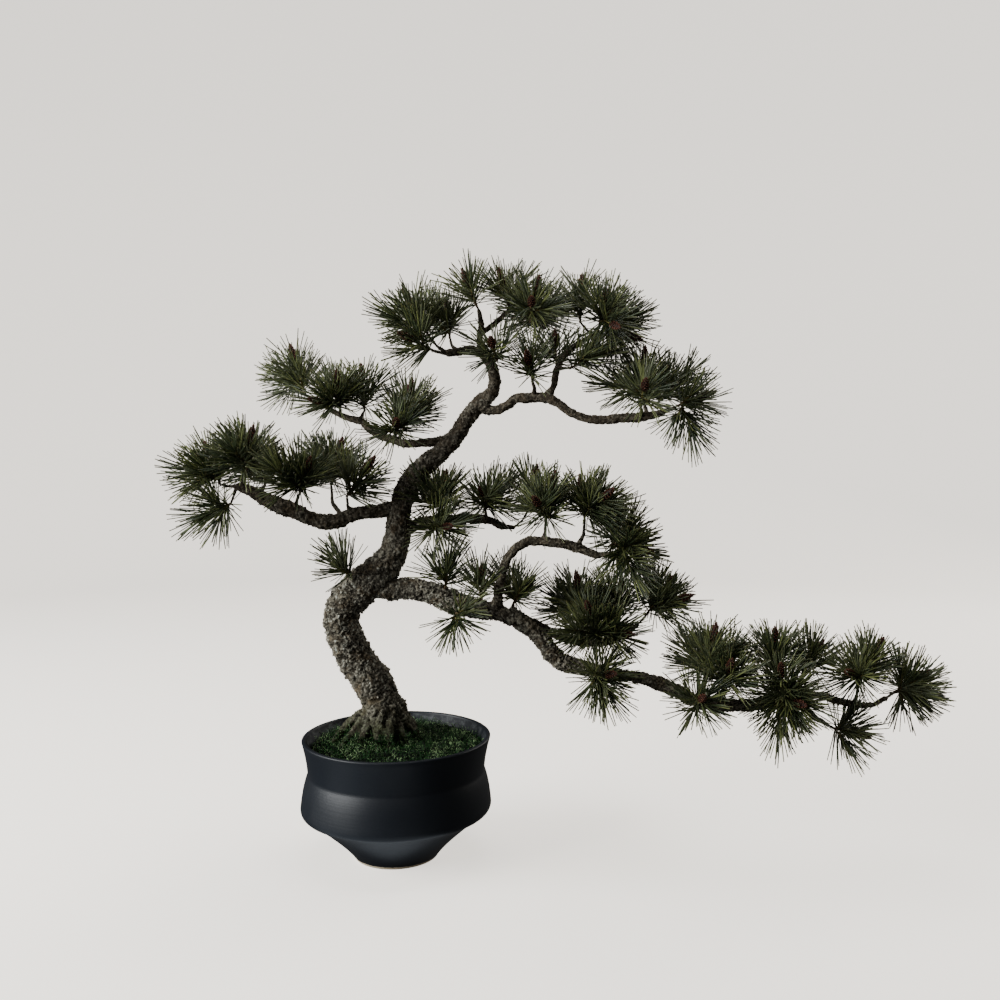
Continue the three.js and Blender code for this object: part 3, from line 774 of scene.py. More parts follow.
@dataclass(frozen=True)
class ConeScale(Finish):
    """Reddish-brown cone scales with darker bases, partly painted shade where the scales overlap."""

    roughness: float = 0.5
    gloss: float = 0.2
    dark: Linear = shade(26, 17, 14)
    red: Linear = shade(92, 56, 44)
    dry: Linear = shade(128, 98, 78)

    def paint(self, canvas: Canvas) -> None:
        """Wires the scales' bases, dark partly as painted shade, their backs and dry edges.

        Args:
            canvas: The material's tree.
        """
        share = canvas.mark("share")
        # painted shade, partly: each scale darkens towards its foot, where the scales overlap and shade each
        # other
        back = canvas.blend(canvas.limited(share, 0.25, 0.7), self.dark, self.red)
        canvas.colour(canvas.blend(canvas.limited(share, 0.75, 1.0) * canvas.mark("tone"), back, self.dry))
        canvas.relief(canvas.noise(1600, 2.0), 0.0001)


@dataclass(frozen=True)
class Moss(Finish):
    """Deep green moss with paler tips, the sprigs' lower parts near-black, partly as painted shade."""

    gloss: float = 0.2
    deep: Linear = shade(2, 11, 2)
    green: Linear = shade(22, 78, 18)
    bright: Linear = shade(192, 226, 160)

    def paint(self, canvas: Canvas) -> None:
        """Wires the dark base, partly painted shade, the tips and the brighter drifts.

        Args:
            canvas: The material's tree.
        """
        drift = canvas.patches(60, 3.0, 0.55, 0.4, 0.66)
        fresh = canvas.limited(canvas.mark("tone") + drift * 0.4, 0.7, 1.3)
        tips = canvas.blend(fresh, self.green, self.bright)
        # painted shade, partly: the lower half of each sprig takes the near-black deep colour where the moss
        # shades itself; the rest is the moss's own darker growth
        canvas.colour(canvas.blend(canvas.limited(canvas.mark("share"), 0.5, 1.0), self.deep, tips))


@dataclass(frozen=True)
class MossBed(Finish):
    """The dense dark mat under the moss sprigs, its dark partly painted shade under them."""

    roughness: float = 0.9
    gloss: float = 0.1
    deep: Linear = shade(2, 8, 2)
    green: Linear = shade(13, 28, 11)

    def paint(self, canvas: Canvas) -> None:
        """Wires the mat's mottled green, near-black partly as painted shade, and its felted relief.

        Args:
            canvas: The material's tree.
        """
        felt = canvas.noise(650, 4.0, 0.7)
        # painted shade, partly: the mat's near-black greens stand in for the shade under the sprigs
        canvas.colour(canvas.blend(canvas.limited(felt, 0.38, 0.68), self.deep, self.green))
        canvas.relief(felt, 0.0012)


@dataclass(frozen=True)
class Earth(Finish):
    """Dark crumbly potting soil with pale grains."""

    roughness: float = 0.95
    dark: Linear = shade(36, 26, 19)
    crumb: Linear = shade(84, 64, 46)

    def paint(self, canvas: Canvas) -> None:
        """Wires the crumbs' colours and their relief.

        Args:
            canvas: The material's tree.
        """
        cells = canvas.add("ShaderNodeTexVoronoi", {"Vector": canvas.place, "Scale": 320}, feature="F1")
        canvas.colour(canvas.blend(canvas.patches(240, 3.0, 0.55, 0.4, 0.7), self.dark, self.crumb))
        canvas.relief(1 - cells["Distance"], 0.0015)


@dataclass(frozen=True)
class Paper(Finish):
    """The studio's plain pale paper."""

    roughness: float = 0.9
    gloss: float = 0.1
    tint: Linear = shade(230, 224, 215)
    glow: float = 1.65

    def paint(self, canvas: Canvas) -> None:
        """Sets the paper's even colour and the light that shines through it.

        Args:
            canvas: The material's tree.
        """
        canvas.inputs["Base Color"].default_value = self.tint
        canvas.inputs["Emission Color"].default_value = self.tint
        canvas.inputs["Emission Strength"].default_value = self.glow


# ------------------------------------------------------------------ pot and ground


@dataclass
class Pot:
    """The stoneware pot: a flat foot, a flared bowl, a rounded shoulder, a neck and a rolled lip."""

    foot_radius: float = 0.044
    wall: float = 0.007
    floor: float = 0.012
    lip_width: float = 0.0046
    ring_depth: float = 0.0016
    ring_width: float = 0.005
    segments: int = 192
    steps: int = 10
    waist: float = 0.72              # the neck's height as a share of the pot's

    def outline(self) -> list[tuple[float, float]]:
        """The section, from the foot's recess up the outside, over the lip and down to the floor.

        Returns:
            Points as radius and height.
        """
        low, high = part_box("pot")
        top, widest, foot, steps = high.z - low.z, (high.x - low.x) / 2, self.foot_radius, self.steps
        rim, neck, waist = widest - 0.001, widest - 0.0075, self.waist * top
        lip, inner, ring = rim - self.lip_width, neck - self.wall, foot - self.ring_width
        line = [(0.0, self.ring_depth), (ring - 0.001, self.ring_depth), (ring, 0.0004),
                (ring + 0.0006, 0.0), (foot - 0.0008, 0.0)]
        bows = [
            ((foot, 0.0), (foot + 0.0004, 0.0009), 3),
            ((0.0525, 0.013), (0.076, 0.033), steps),
            ((0.0865, 0.0425), (widest - 0.0035, 0.0485), steps),
            ((widest, 0.0505), (widest, 0.0555), steps),
            ((widest - 0.002, 0.077), (neck + 0.0008, waist - 0.002), steps),
            ((neck, waist), (neck + 0.0005, waist + 0.003), 4),
            ((neck + 0.0015, waist + 0.016), (rim, top - 0.0018), steps),
            ((rim, top), (rim - self.lip_width / 2, top), 5),
            ((lip, top), (lip, top - 0.0016), 5),
            ((inner + 0.001, waist + 0.015), (inner, waist), steps),
            ((widest - self.wall, 0.075), (widest - self.wall, 0.059), steps),
            ((0.092, 0.046), (0.089, 0.046), steps),
            ((0.064, 0.024), (foot - 0.004, self.floor), steps)]
        for knee, end, count in bows:
            line += bow(line[-1], knee, end, count)
        return line + [(0.0, self.floor)]

    def build(self, finish: Finish) -> None:
        """Turns the pot and dresses it.

        Args:
            finish: Its stoneware.
        """
        piece = turned("stoneware_pot", self.outline(), self.segments)
        finish.dress(piece)
        settle(piece, "stoneware", "pot")


@dataclass
class Ground:
    """The moss carpet on the soil, with its sprigs, and the growth that climbs the roots."""

    rings: int = 34
    segments: int = 150
    lump: float = 0.0024
    mound: float = 0.0065
    crowd: float = 100_000.0         # sprigs on a square metre
    root_crowd: float = 220_000.0
    wall_gap: float = 0.0028
    root_cover: float = 0.132
    overlap: float = 0.0006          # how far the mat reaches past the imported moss
    underside: float = 0.003         # how far its underside stays within its edge
    top_gap: float = 0.0015
    sprig_rise: float = 0.004        # how far above the underside the lowest sprigs stand

    def bed_height(self, x: float, y: float, edge: float, low: float, high: float) -> float:
        """The height of the moss mat at a place.

        Args:
            x: The place's x.
            y: The place's y.
            edge: The mat's radius.
            low: Its height at the wall.
            high: Its height in the middle.

        Returns:
            The height.
        """
        share = math.hypot(x, y) / edge
        mound = low + (high - low) * (1 - share ** 2)
        waves = math.sin(x * 110 + y * 70) + math.cos(y * 130 - x * 50) + 0.7 * math.sin(x * 260 - y * 310)
        return mound + self.lump * (0.45 * waves - 0.3) * (1 - share ** 6) - 0.001 * share ** 8

    def build_bed(self, finish: Finish) -> bpy.types.Object:
        """Builds the mat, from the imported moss's own edge and height.

        Args:
            finish: The mat's finish.

        Returns:
            The mat.
        """
        low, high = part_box("moss")
        edge = (high.x - low.x) / 2 + self.overlap
        outline = [(0.0, low.z), (edge - self.underside, low.z)]
        outline += [(edge * (1 - i / self.rings) ** 0.9, 0.0) for i in range(self.rings)] + [(0.0, 0.0)]
        piece = turned("moss_mat", outline, self.segments)
        for vertex in piece.data.vertices:
            if vertex.co.z == 0.0:
                x, y, _ = vertex.co
                vertex.co.z = self.bed_height(x, y, edge, high.z - self.mound, high.z - self.top_gap)
        piece.data.update()
        finish.dress(piece)
        return settle(piece, "moss", "moss")

    def build_sprigs(self, bed: bpy.types.Object, wood: bpy.types.Object, finish: Finish) -> None:
        """Grows sprigs on the mat and on the roots that leave it.

        Args:
            bed: The moss mat.
            wood: The tree's wood.
            finish: The sprigs' finish.
        """
        material = finish.build()
        floor = bed.data.vertices[1].co.z + self.sprig_rise
        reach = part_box("moss")[1].x - self.wall_gap
        for name, under, low, high, crowd in (
                ("moss_sprigs", bed, floor, 1.0, self.crowd),
                ("moss_on_roots", wood, floor + self.sprig_rise, self.root_cover, self.root_crowd)):
            settle(SprigRecipe(material, low, high, reach, crowd).grow(twin(under), name), "moss")


@dataclass
class SprigRecipe(Recipe):
    """Feathery moss sprigs, scattered over the upper faces of a piece between two heights."""

    lowest: float
    highest: float
    furthest_out: float
    sprigs_per_square_metre: float
    sprig_height: float = 0.0066
    stem_radius: float = 0.00026
    leaf_radius: float = 0.00052
    leaf_length: float = 0.0048

    def write(self) -> None:
        """Scatters the sprigs, in drifts."""
        height, facing = self.height(), self.axis(self.add("GeometryNodeInputNormal")[0], "Z")
        above = self.maths("GREATER_THAN", height, self.size("lowest"))
        below = self.maths("LESS_THAN", height, self.size("highest"))
        wanted = above * below * self.maths("GREATER_THAN", facing, 0.1) * (
            self.maths("LESS_THAN", self.radius(), self.size("furthest_out")))
        drift = self.patches(90, 2.0, 0.55, 0.25, 0.6)
        density = self.size("sprigs_per_square_metre") * (0.35 + drift * 0.65)
        spread = self.scatter(density, 5, Selection=wanted)
        points = self.keep(spread["Points"], "tone", self.chance(0.0, 1.0, 11))
        aside, back = self.chance(-1.1, 1.1, 12), self.chance(-1.1, 1.1, 13)
        tilt = self.vector(aside, back, self.chance(0.0, 0.4, 14))
        turn = self.aimed(spread["Normal"] * 0.5 + tilt, self.chance(0.0, FULL_TURN, 15))
        shapes = [self.sprig(bend) for bend in (0.35, 0.7, -0.5)]
        self.close(self.plant(points, shapes, turn, self.chance(0.55, 1.2, 16), 17))

    def sprig(self, bend: float) -> Wire:
        """One sprig: a bent stem with small leaves up its sides.

        Args:
            bend: How far its tip leans, as a share of its height.

        Returns:
            The sprig.
        """
        tall, along = self.size("sprig_height"), self.recall("share")
        stem = self.move(self.stalk(tall), self.vector(tall * along * along * bend, 0, 0))
        body = self.strand(stem, self.size("stem_radius") * (1.15 - along), 3)
        spots = self.spots(stem, "EVALUATED")
        heading = spots["Tangent"] * 0.8 + self.spiral(spots)
        leaf = self.add("GeometryNodeMeshCone", {
            "Vertices": 3, "Radius Top": 0.0, "Radius Bottom": self.size("leaf_radius"),
            "Depth": self.size("leaf_length")}, fill_type="TRIANGLE_FAN")["Mesh"]
        leaf = self.keep(leaf, "share", 0.5 + self.limited(self.height(), 0.0, 0.004) * 0.5)
        leaves = self.add("GeometryNodeInstanceOnPoints", {
            "Points": spots["Points"], "Instance": leaf, "Rotation": self.aimed(heading, 0.0),
            "Scale": 1.15 - along * 0.5})["Instances"]
        return self.join(body, leaves)


# ------------------------------------------------------------------ wood


@dataclass
class Wood:
    """The trunk, roots, branches and twigs: one grown piece with cracked, flaky bark."""

    voxel: float = 0.00092
    swell: float = 0.00035
    smoothing: int = 4
    softness: float = 0.5
    most_triangles: int = 192000
    rootlets: int = 17
    rootlet_rings: int = 12
    rootlet_sides: int = 7
    rootlet_centre: tuple[float, float] = (-0.0145, 0.008)
    rootlet_start: tuple[float, float] = (0.019, 0.16)
    rootlet_end: float = 0.113
    rootlet_reach: tuple[float, float] = (0.032, 0.05)
    rootlet_radius: float = 0.0026

    def build(self, bark: Finish) -> bpy.types.Object:
        """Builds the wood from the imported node's form, raises its bark and scatters loose flakes.

        Args:
            bark: The bark's finish.

        Returns:
            The wood.
        """
        material = bark.build()
        rough = BarkRecipe(material).grow(self.core(), "rough_wood")
        thin = rough.modifiers.new("thin", "DECIMATE")
        thin.ratio = min(1.0, self.most_triangles / (2 * len(rough.data.polygons)))
        piece = plain(rough, "trunk_bark")
        piece.data.shade_smooth()
        settle(piece, "bark", "trunk_and_branches")
        settle(FlakeRecipe(material).grow(twin(piece), "bark_flakes"), "bark")
        return piece

    def core(self) -> bpy.types.Object:
        """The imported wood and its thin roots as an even, rounded skin.

        Returns:
            The skin, with its modifiers.
        """
        mesh = welded("trunk_and_branches")
        mesh.normal_update()
        for vertex in mesh.verts:
            vertex.co += vertex.normal * self.swell
        for k in range(self.rootlets):
            self.add_tube(mesh, *self.rootlet(k))
        data = bpy.data.meshes.new("wood_core")
        mesh.to_mesh(data)
        mesh.free()
        core = shown("wood_core", data)
        remesh = core.modifiers.new("even", "REMESH")
        remesh.mode = "VOXEL"
        remesh.voxel_size = self.voxel
        smooth = core.modifiers.new("round", "SMOOTH")
        smooth.factor = self.softness
        smooth.iterations = self.smoothing
        return core

    def rootlet(self, k: int) -> tuple[list[Vector], list[float]]:
        """One thin root, which winds down the tree's foot and into the moss.

        Args:
            k: Which root it is.

        Returns:
            The middle and the radius of each of its rings.
        """
        draw = np.random.default_rng(200 + k)
        angle = FULL_TURN * (k + draw.uniform(-0.3, 0.3)) / self.rootlets
        reach, phase, sway = draw.uniform(*self.rootlet_reach), draw.uniform(0, 6), draw.uniform(0.1, 0.22)
        (x, y), (start, top) = self.rootlet_centre, self.rootlet_start
        path, radii = [], []
        for share in np.linspace(0, 1, self.rootlet_rings):
            turn = angle + sway * math.sin(7 * share + phase)
            out = start + (reach - start) * share ** 1.5
            height = top - (top - self.rootlet_end) * share ** 1.1
            path.append(Vector((x + out * math.cos(turn), y + out * math.sin(turn), height)))
            radii.append(self.rootlet_radius * (1.1 - 0.55 * share) * draw.uniform(0.85, 1.15))
        return path, radii

    def add_tube(self, mesh: bmesh.types.BMesh, path: Sequence[Vector], radii: Sequence[float]) -> None:
        """Adds a closed tube to a mesh.

        Args:
            mesh: The mesh.
            path: The middle of each ring.
            radii: Each ring's radius.
        """
        rings, sides = [], self.rootlet_sides
        for i, (middle, radius) in enumerate(zip(path, radii)):
            along = (path[min(i + 1, len(path) - 1)] - path[max(i - 1, 0)]).normalized()
            side = along.cross(Vector((0, 0, 1))).normalized()
            other = along.cross(side)
            turns = [FULL_TURN * j / sides for j in range(sides)]
            rings.append([mesh.verts.new(middle + (side * math.cos(turn) + other * math.sin(turn)) * radius)
                          for turn in turns])
        for low, high in zip(rings, rings[1:]):
            for j in range(sides):
                k = (j + 1) % sides
                mesh.faces.new((low[j], low[k], high[k], high[j]))
        mesh.faces.new(rings[0][::-1])
        mesh.faces.new(rings[-1])


@dataclass
class BarkRecipe(Recipe):
    """Raises lumps, plates and grains from smooth wood, less of them where it is thin."""

    lump_height: float = 0.0031
    plate_height: float = 0.002
    grain_height: float = 0.0038
    lumps_per_metre: float = 85.0
    plates_per_metre: float = 120.0
    grains_per_metre: float = 230.0
    warps_per_metre: float = 180.0
    warp_reach: float = 0.03
    girth_start: float = 0.0003
    girth_reach: float = 0.06
    girth_smoothing: int = 12

    def write(self) -> None:
        """Measures the wood's girth and raises the bark by it."""
        normal = self.add("GeometryNodeInputNormal")[0]
        ray = self.add("GeometryNodeRaycast", {
            "Target Geometry": self.source, "Ray Direction": normal * -1.0,
            "Source Position": self.place - normal * self.size("girth_start"),
            "Ray Length": self.size("girth_reach")})
        across = self.add("GeometryNodeBlurAttribute", {
            "Value": ray["Hit Distance"] * 0.5, "Iterations": self.size("girth_smoothing")},
            data_type="FLOAT")["Value"]
        measured = self.keep(self.source, "girth", across)
        level = self.height()
        calm = (0.4 + self.limited(level, 0.125, 0.175) * 0.6) * (1 - self.limited(level, 0.3, 0.36) * 0.35)
        stout = self.limited(self.recall("girth"), 0.0008, 0.009, Ease.STRAIGHT)
        warp = self.add("ShaderNodeTexNoise", {
            "Vector": self.place, "Scale": self.size("warps_per_metre"), "Detail": 3.0})["Color"]
        bent = self.place + (warp - (0.5, 0.5, 0.5)) * self.size("warp_reach")
        cells = self.add("ShaderNodeTexVoronoi", {"Vector": bent, "Scale": self.size("plates_per_metre")},
                         feature="DISTANCE_TO_EDGE")["Distance"]
        plate, grain = self.limited(cells, 0.0, 0.3), self.noise(self.size("grains_per_metre"), 5.0, 0.75)
        # the relief's height, which the bark finish also turns into painted shade in the hollows
        raised = self.keep(measured, "ridge", plate * 0.35 + grain * 0.65)
        lump = self.noise(self.size("lumps_per_metre"))
        height = (lump - 0.45) * self.size("lump_height") * 2.4 + (
            plate - 0.45) * self.size("plate_height") + (grain - 0.45) * self.size("grain_height") * 2
        self.close(self.move(raised, normal * (height * ((0.2 + stout * 0.8) * calm))))


@dataclass
class FlakeRecipe(Recipe):
    """Small loose flakes of bark that stand off the wood."""

    flakes_per_square_metre: float = 70_000.0
    flake_length: float = 0.0016

    def write(self) -> None:
        """Scatters the flakes in clumps, fewer where the wood is thin."""
        stout = self.limited(self.recall("girth"), 0.003, 0.011, Ease.STRAIGHT)
        clumps = self.patches(130, 2.0, 0.55, 0.4, 0.62)
        crowd = self.size("flakes_per_square_metre")
        spread = self.scatter(crowd * (0.1 + stout * 0.9) * (0.25 + clumps * 0.75), 3)
        tilt = self.vector(*(self.chance(-1.3, 1.3, 30 + i) for i in range(3)))
        turn = self.aimed(spread["Normal"] + tilt, self.chance(0.0, FULL_TURN, 34))
        shapes = [self.flake(width) for width in (0.5, 0.8, 1.1)]
        scale = self.chance(0.45, 1.4, 35) * (0.5 + stout * 0.5)
        self.close(self.plant(spread["Points"], shapes, turn, scale, 36))

    def flake(self, width: float) -> Wire:
        """One flake: a thin chip with a sharp edge.

        Args:
            width: Its width as a share of its length.

        Returns:
            The flake.
        """
        length = self.size("flake_length")
        ball = self.add("GeometryNodeMeshUVSphere", {"Radius": 1.0, "Segments": 4, "Rings": 3})["Mesh"]
        stretched = self.add("GeometryNodeTransform", {
            "Geometry": ball, "Scale": self.vector(length * width, length * 0.2, length)})["Geometry"]
        return self.move(stretched, self.place * (self.noise(900 + 300 * width, 1.0) - 0.5))


# ------------------------------------------------------------------ foliage


class ShootEnd(Enum):
    """How a shoot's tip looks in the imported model: the drop to its last ring, and the ring's radius."""

    CONE = (0.006, 0.002736)
    TUFT = (0.002, 0.00115)


@dataclass(frozen=True)
class Shoot:
    """One leafy shoot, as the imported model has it. Its leafy part is measured down from the tip."""

    foot: Vector
    tip: Vector
    end: ShootEnd
    leafy: tuple[float, float]

    @property
    def heading(self) -> Vector:
        """The way it grows."""
        return (self.tip - self.foot).normalized()

    def below_tip(self, distance: float) -> Vector:
        """The place on it that far below its tip."""
        return self.tip - self.heading * distance


@dataclass
class SprayReader:
    """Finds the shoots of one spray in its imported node."""

    node: str
    stem_reach: float = 0.0015
    cone_reach: float = 0.0042
    cone_length: float = 0.0175
    bare_below_cone: float = 0.0245
    bare_below_tuft: float = 0.003
    foot_depth: float = 0.0012
    shortest_needle: float = 0.025
    leafy_share: float = 0.9         # of a shoot on which no needle is found
    tolerance: float = 0.0003

    @staticmethod
    def down_and_aside(point: Vector, tip: Vector, heading: Vector) -> tuple[float, float]:
        """Measures where a point is beside a shoot.

        Args:
            point: The point.
            tip: The shoot's tip.
            heading: The way it grows.

        Returns:
            How far the point is below the tip, along the shoot, and how far aside of it.
        """
        offset = point - tip
        down = -offset.dot(heading)
        return down, (offset + heading * down).length

    @staticmethod
    def ring_middle(vertex: bmesh.types.BMVert) -> Vector:
        """The middle of the corners that a corner is joined to."""
        ring = [edge.other_vert(vertex).co for edge in vertex.link_edges]
        return sum(ring, Vector()) / len(ring)

    def is_needle_tip(self, vertex: bmesh.types.BMVert) -> bool:
        """Whether three long edges meet at a corner."""
        edges = vertex.link_edges
        return len(edges) == 3 and min(edge.calc_length() for edge in edges) > self.shortest_needle

    def end_of(self, vertex: bmesh.types.BMVert) -> Optional[ShootEnd]:
        """Which kind of shoot's tip a corner is, if any.

        Args:
            vertex: The corner.

        Returns:
            The kind, or None.
        """
        if len(vertex.link_edges) != 4:
            return None
        middle = self.ring_middle(vertex)
        drop = (vertex.co - middle).length
        spans = [(edge.other_vert(vertex).co - middle).length for edge in vertex.link_edges]
        for end in ShootEnd:
            fits = all(abs(span - end.value[1]) < self.tolerance for span in spans)
            if fits and abs(drop - end.value[0]) < self.tolerance:
                return end
        return None

    def lowest(self, apex: bmesh.types.BMVert, heading: Vector) -> float:
        """How far down its own stem a shoot reaches.

        Args:
            apex: The shoot's tip.
            heading: The way it grows.

        Returns:
            The distance from the tip to the foot.
        """
        seen, waiting, reach = {apex}, [apex], 0.0
        while waiting:
            corner = waiting.pop()
            for edge in corner.link_edges:
                other = edge.other_vert(corner)
                down, aside = self.down_and_aside(other.co, apex.co, heading)
                limit = self.cone_reach if down < self.cone_length else self.stem_reach
                if other not in seen and down >= 0 and aside < limit:
                    seen.add(other)
                    waiting.append(other)
                    reach = max(reach, down)
        return reach

    def shoots(self) -> list[Shoot]:
        """Finds every shoot.

        Returns:
            The shoots.
        """
        mesh = welded(self.node)
        roots = [self.ring_middle(vertex) for vertex in mesh.verts if self.is_needle_tip(vertex)]
        found = []
        for vertex in mesh.verts:
            end = self.end_of(vertex)
            if end is None:
                continue
            heading = (vertex.co - self.ring_middle(vertex)).normalized()
            reach = self.lowest(vertex, heading)
            spots = [self.down_and_aside(root, vertex.co, heading) for root in roots]
            downs = [down for down, aside in spots if aside < self.stem_reach and 0 <= down <= reach]
            bare = self.bare_below_cone if end is ShootEnd.CONE else self.bare_below_tuft
            leafy = (min(downs, default=bare), max(downs, default=reach * self.leafy_share))
            foot = vertex.co - heading * (reach + self.foot_depth)
            found.append(Shoot(foot, vertex.co.copy(), end, leafy))
        mesh.free()
        return found


@dataclass
class NeedleRecipe(Recipe):
    """Pairs of needles in a spiral up each shoot."""

    pair_spacing: float = 0.00098
    needle_length: float = 0.0415
    needle_radius: float = 0.0007
    lowest_lean: float = math.radians(62)

    def write(self) -> None:
        """Plants the pairs, which lean out less towards the shoot's tip."""
        line = self.keep(self.lines(), "along", self.share())
        spots = self.spots(line, "LENGTH", Length=self.size("pair_spacing"))
        points = self.keep(spots["Points"], "tone", self.chance(0.0, 1.0, 21))
        side, low = self.spiral(spots, self.chance(-0.5, 0.5, 22)), self.size("lowest_lean")
        lean = low + (self.recall("crest") - low) * self.recall("along") ** 0.9 + self.chance(-0.2, 0.2, 23)
        heading = spots["Tangent"] * self.maths("COSINE", lean) + side * self.maths("SINE", lean)
        turn = self.aimed(heading + self.vector(0, 0, 0.03), self.chance(0.0, FULL_TURN, 24))
        long = self.size("needle_length")
        shapes = [self.join(self.needle(long, bend, 0.08), self.needle(long * 0.95, bend, -0.1))
                  for bend in (0.03, 0.06, 0.09)]
        scale = self.chance(0.86, 1.05, 25) * self.recall("vigour")
        self.close(self.plant(points, shapes, turn, scale, 26))

    def needle(self, length: Wire, bend: float, spread: float) -> Wire:
        """One bowed needle that tapers to its tip.

        Args:
            length: Its length.
            bend: How far its tip bows, as a share of the length.
            spread: How far it leans away from its twin.

        Returns:
            The needle.
        """
        share = self.recall("share")
        offset = self.vector(length * share * spread, length * share * share * bend, 0)
        radius = self.size("needle_radius") * (1 - share ** 6 * 0.2)
        return self.strand(self.move(self.stalk(length), offset), radius, 3)


@dataclass
class ConeRecipe(Recipe):
    """Small slender cones: a core with scales in a spiral."""

    scales_on_a_cone: int = 58
    cone_radius: float = 0.0045
    scale_seat: float = 0.62         # shares of the cone's radius
    core_size: float = 0.72
    least_core: float = 0.0001
    SCALE_SIZE = (0.0012, 0.0006, 0.0024)

    def write(self) -> None:
        """Sets the scales round a core that is widest near its foot."""
        line = self.keep(self.lines(), "along", self.share())
        along, wide = self.recall("along"), self.size("cone_radius")
        girth = (1 - along) ** 0.7 * (along + 0.16) ** 0.45 * 1.8
        spots = self.spots(line, "COUNT", Count=self.size("scales_on_a_cone"))
        side = self.spiral(spots)
        points = self.move(spots["Points"], side * (girth * wide * self.size("scale_seat")))
        points = self.keep(points, "tone", self.chance(0.0, 1.0, 41))
        turn = self.aimed(spots["Tangent"] + side * (1.1 - along * 0.7), 0.0)
        scale = (0.45 + girth * 0.6) * self.chance(0.9, 1.12, 42)
        scaled = self.plant(points, [self.scale(0.9), self.scale(1.1)], turn, scale, 43)
        # the core takes the scales' dark foot colour, partly painted shade between the scales
        core = self.keep(self.resampled(line, 7), "share", 0.1)
        thick = girth * wide * self.size("core_size") + self.size("least_core")
        self.close(self.join(self.strand(core, thick, 8), scaled))

    def scale(self, width: float) -> Wire:
        """One blunt scale.

        Args:
            width: Its width beside the others.

        Returns:
            The scale.
        """
        ball = self.add("GeometryNodeMeshIcoSphere", {"Radius": 1.0, "Subdivisions": 1})["Mesh"]
        marked = self.keep(ball, "share", 0.5 + self.height() * 0.5)
        across, thick, long = self.SCALE_SIZE
        sockets = {"Geometry": marked, "Scale": (across * width, thick, long)}
        return self.add("GeometryNodeTransform", sockets)["Geometry"]


@dataclass
class ShootRecipe(Recipe):
    """The shoots themselves, thinner towards their tips."""

    foot_radius: float = 0.0014
    top_radius: float = 0.00095

    def write(self) -> None:
        """Turns the guide's edges into uneven stems."""
        line = self.keep(self.resampled(self.lines(), 14), "share", self.share())
        foot, top = self.size("foot_radius"), self.size("top_radius")
        uneven = 0.85 + self.noise(300, 2.0) * 0.3
        self.close(self.strand(line, (foot + (top - foot) * self.recall("share")) * uneven, 7))


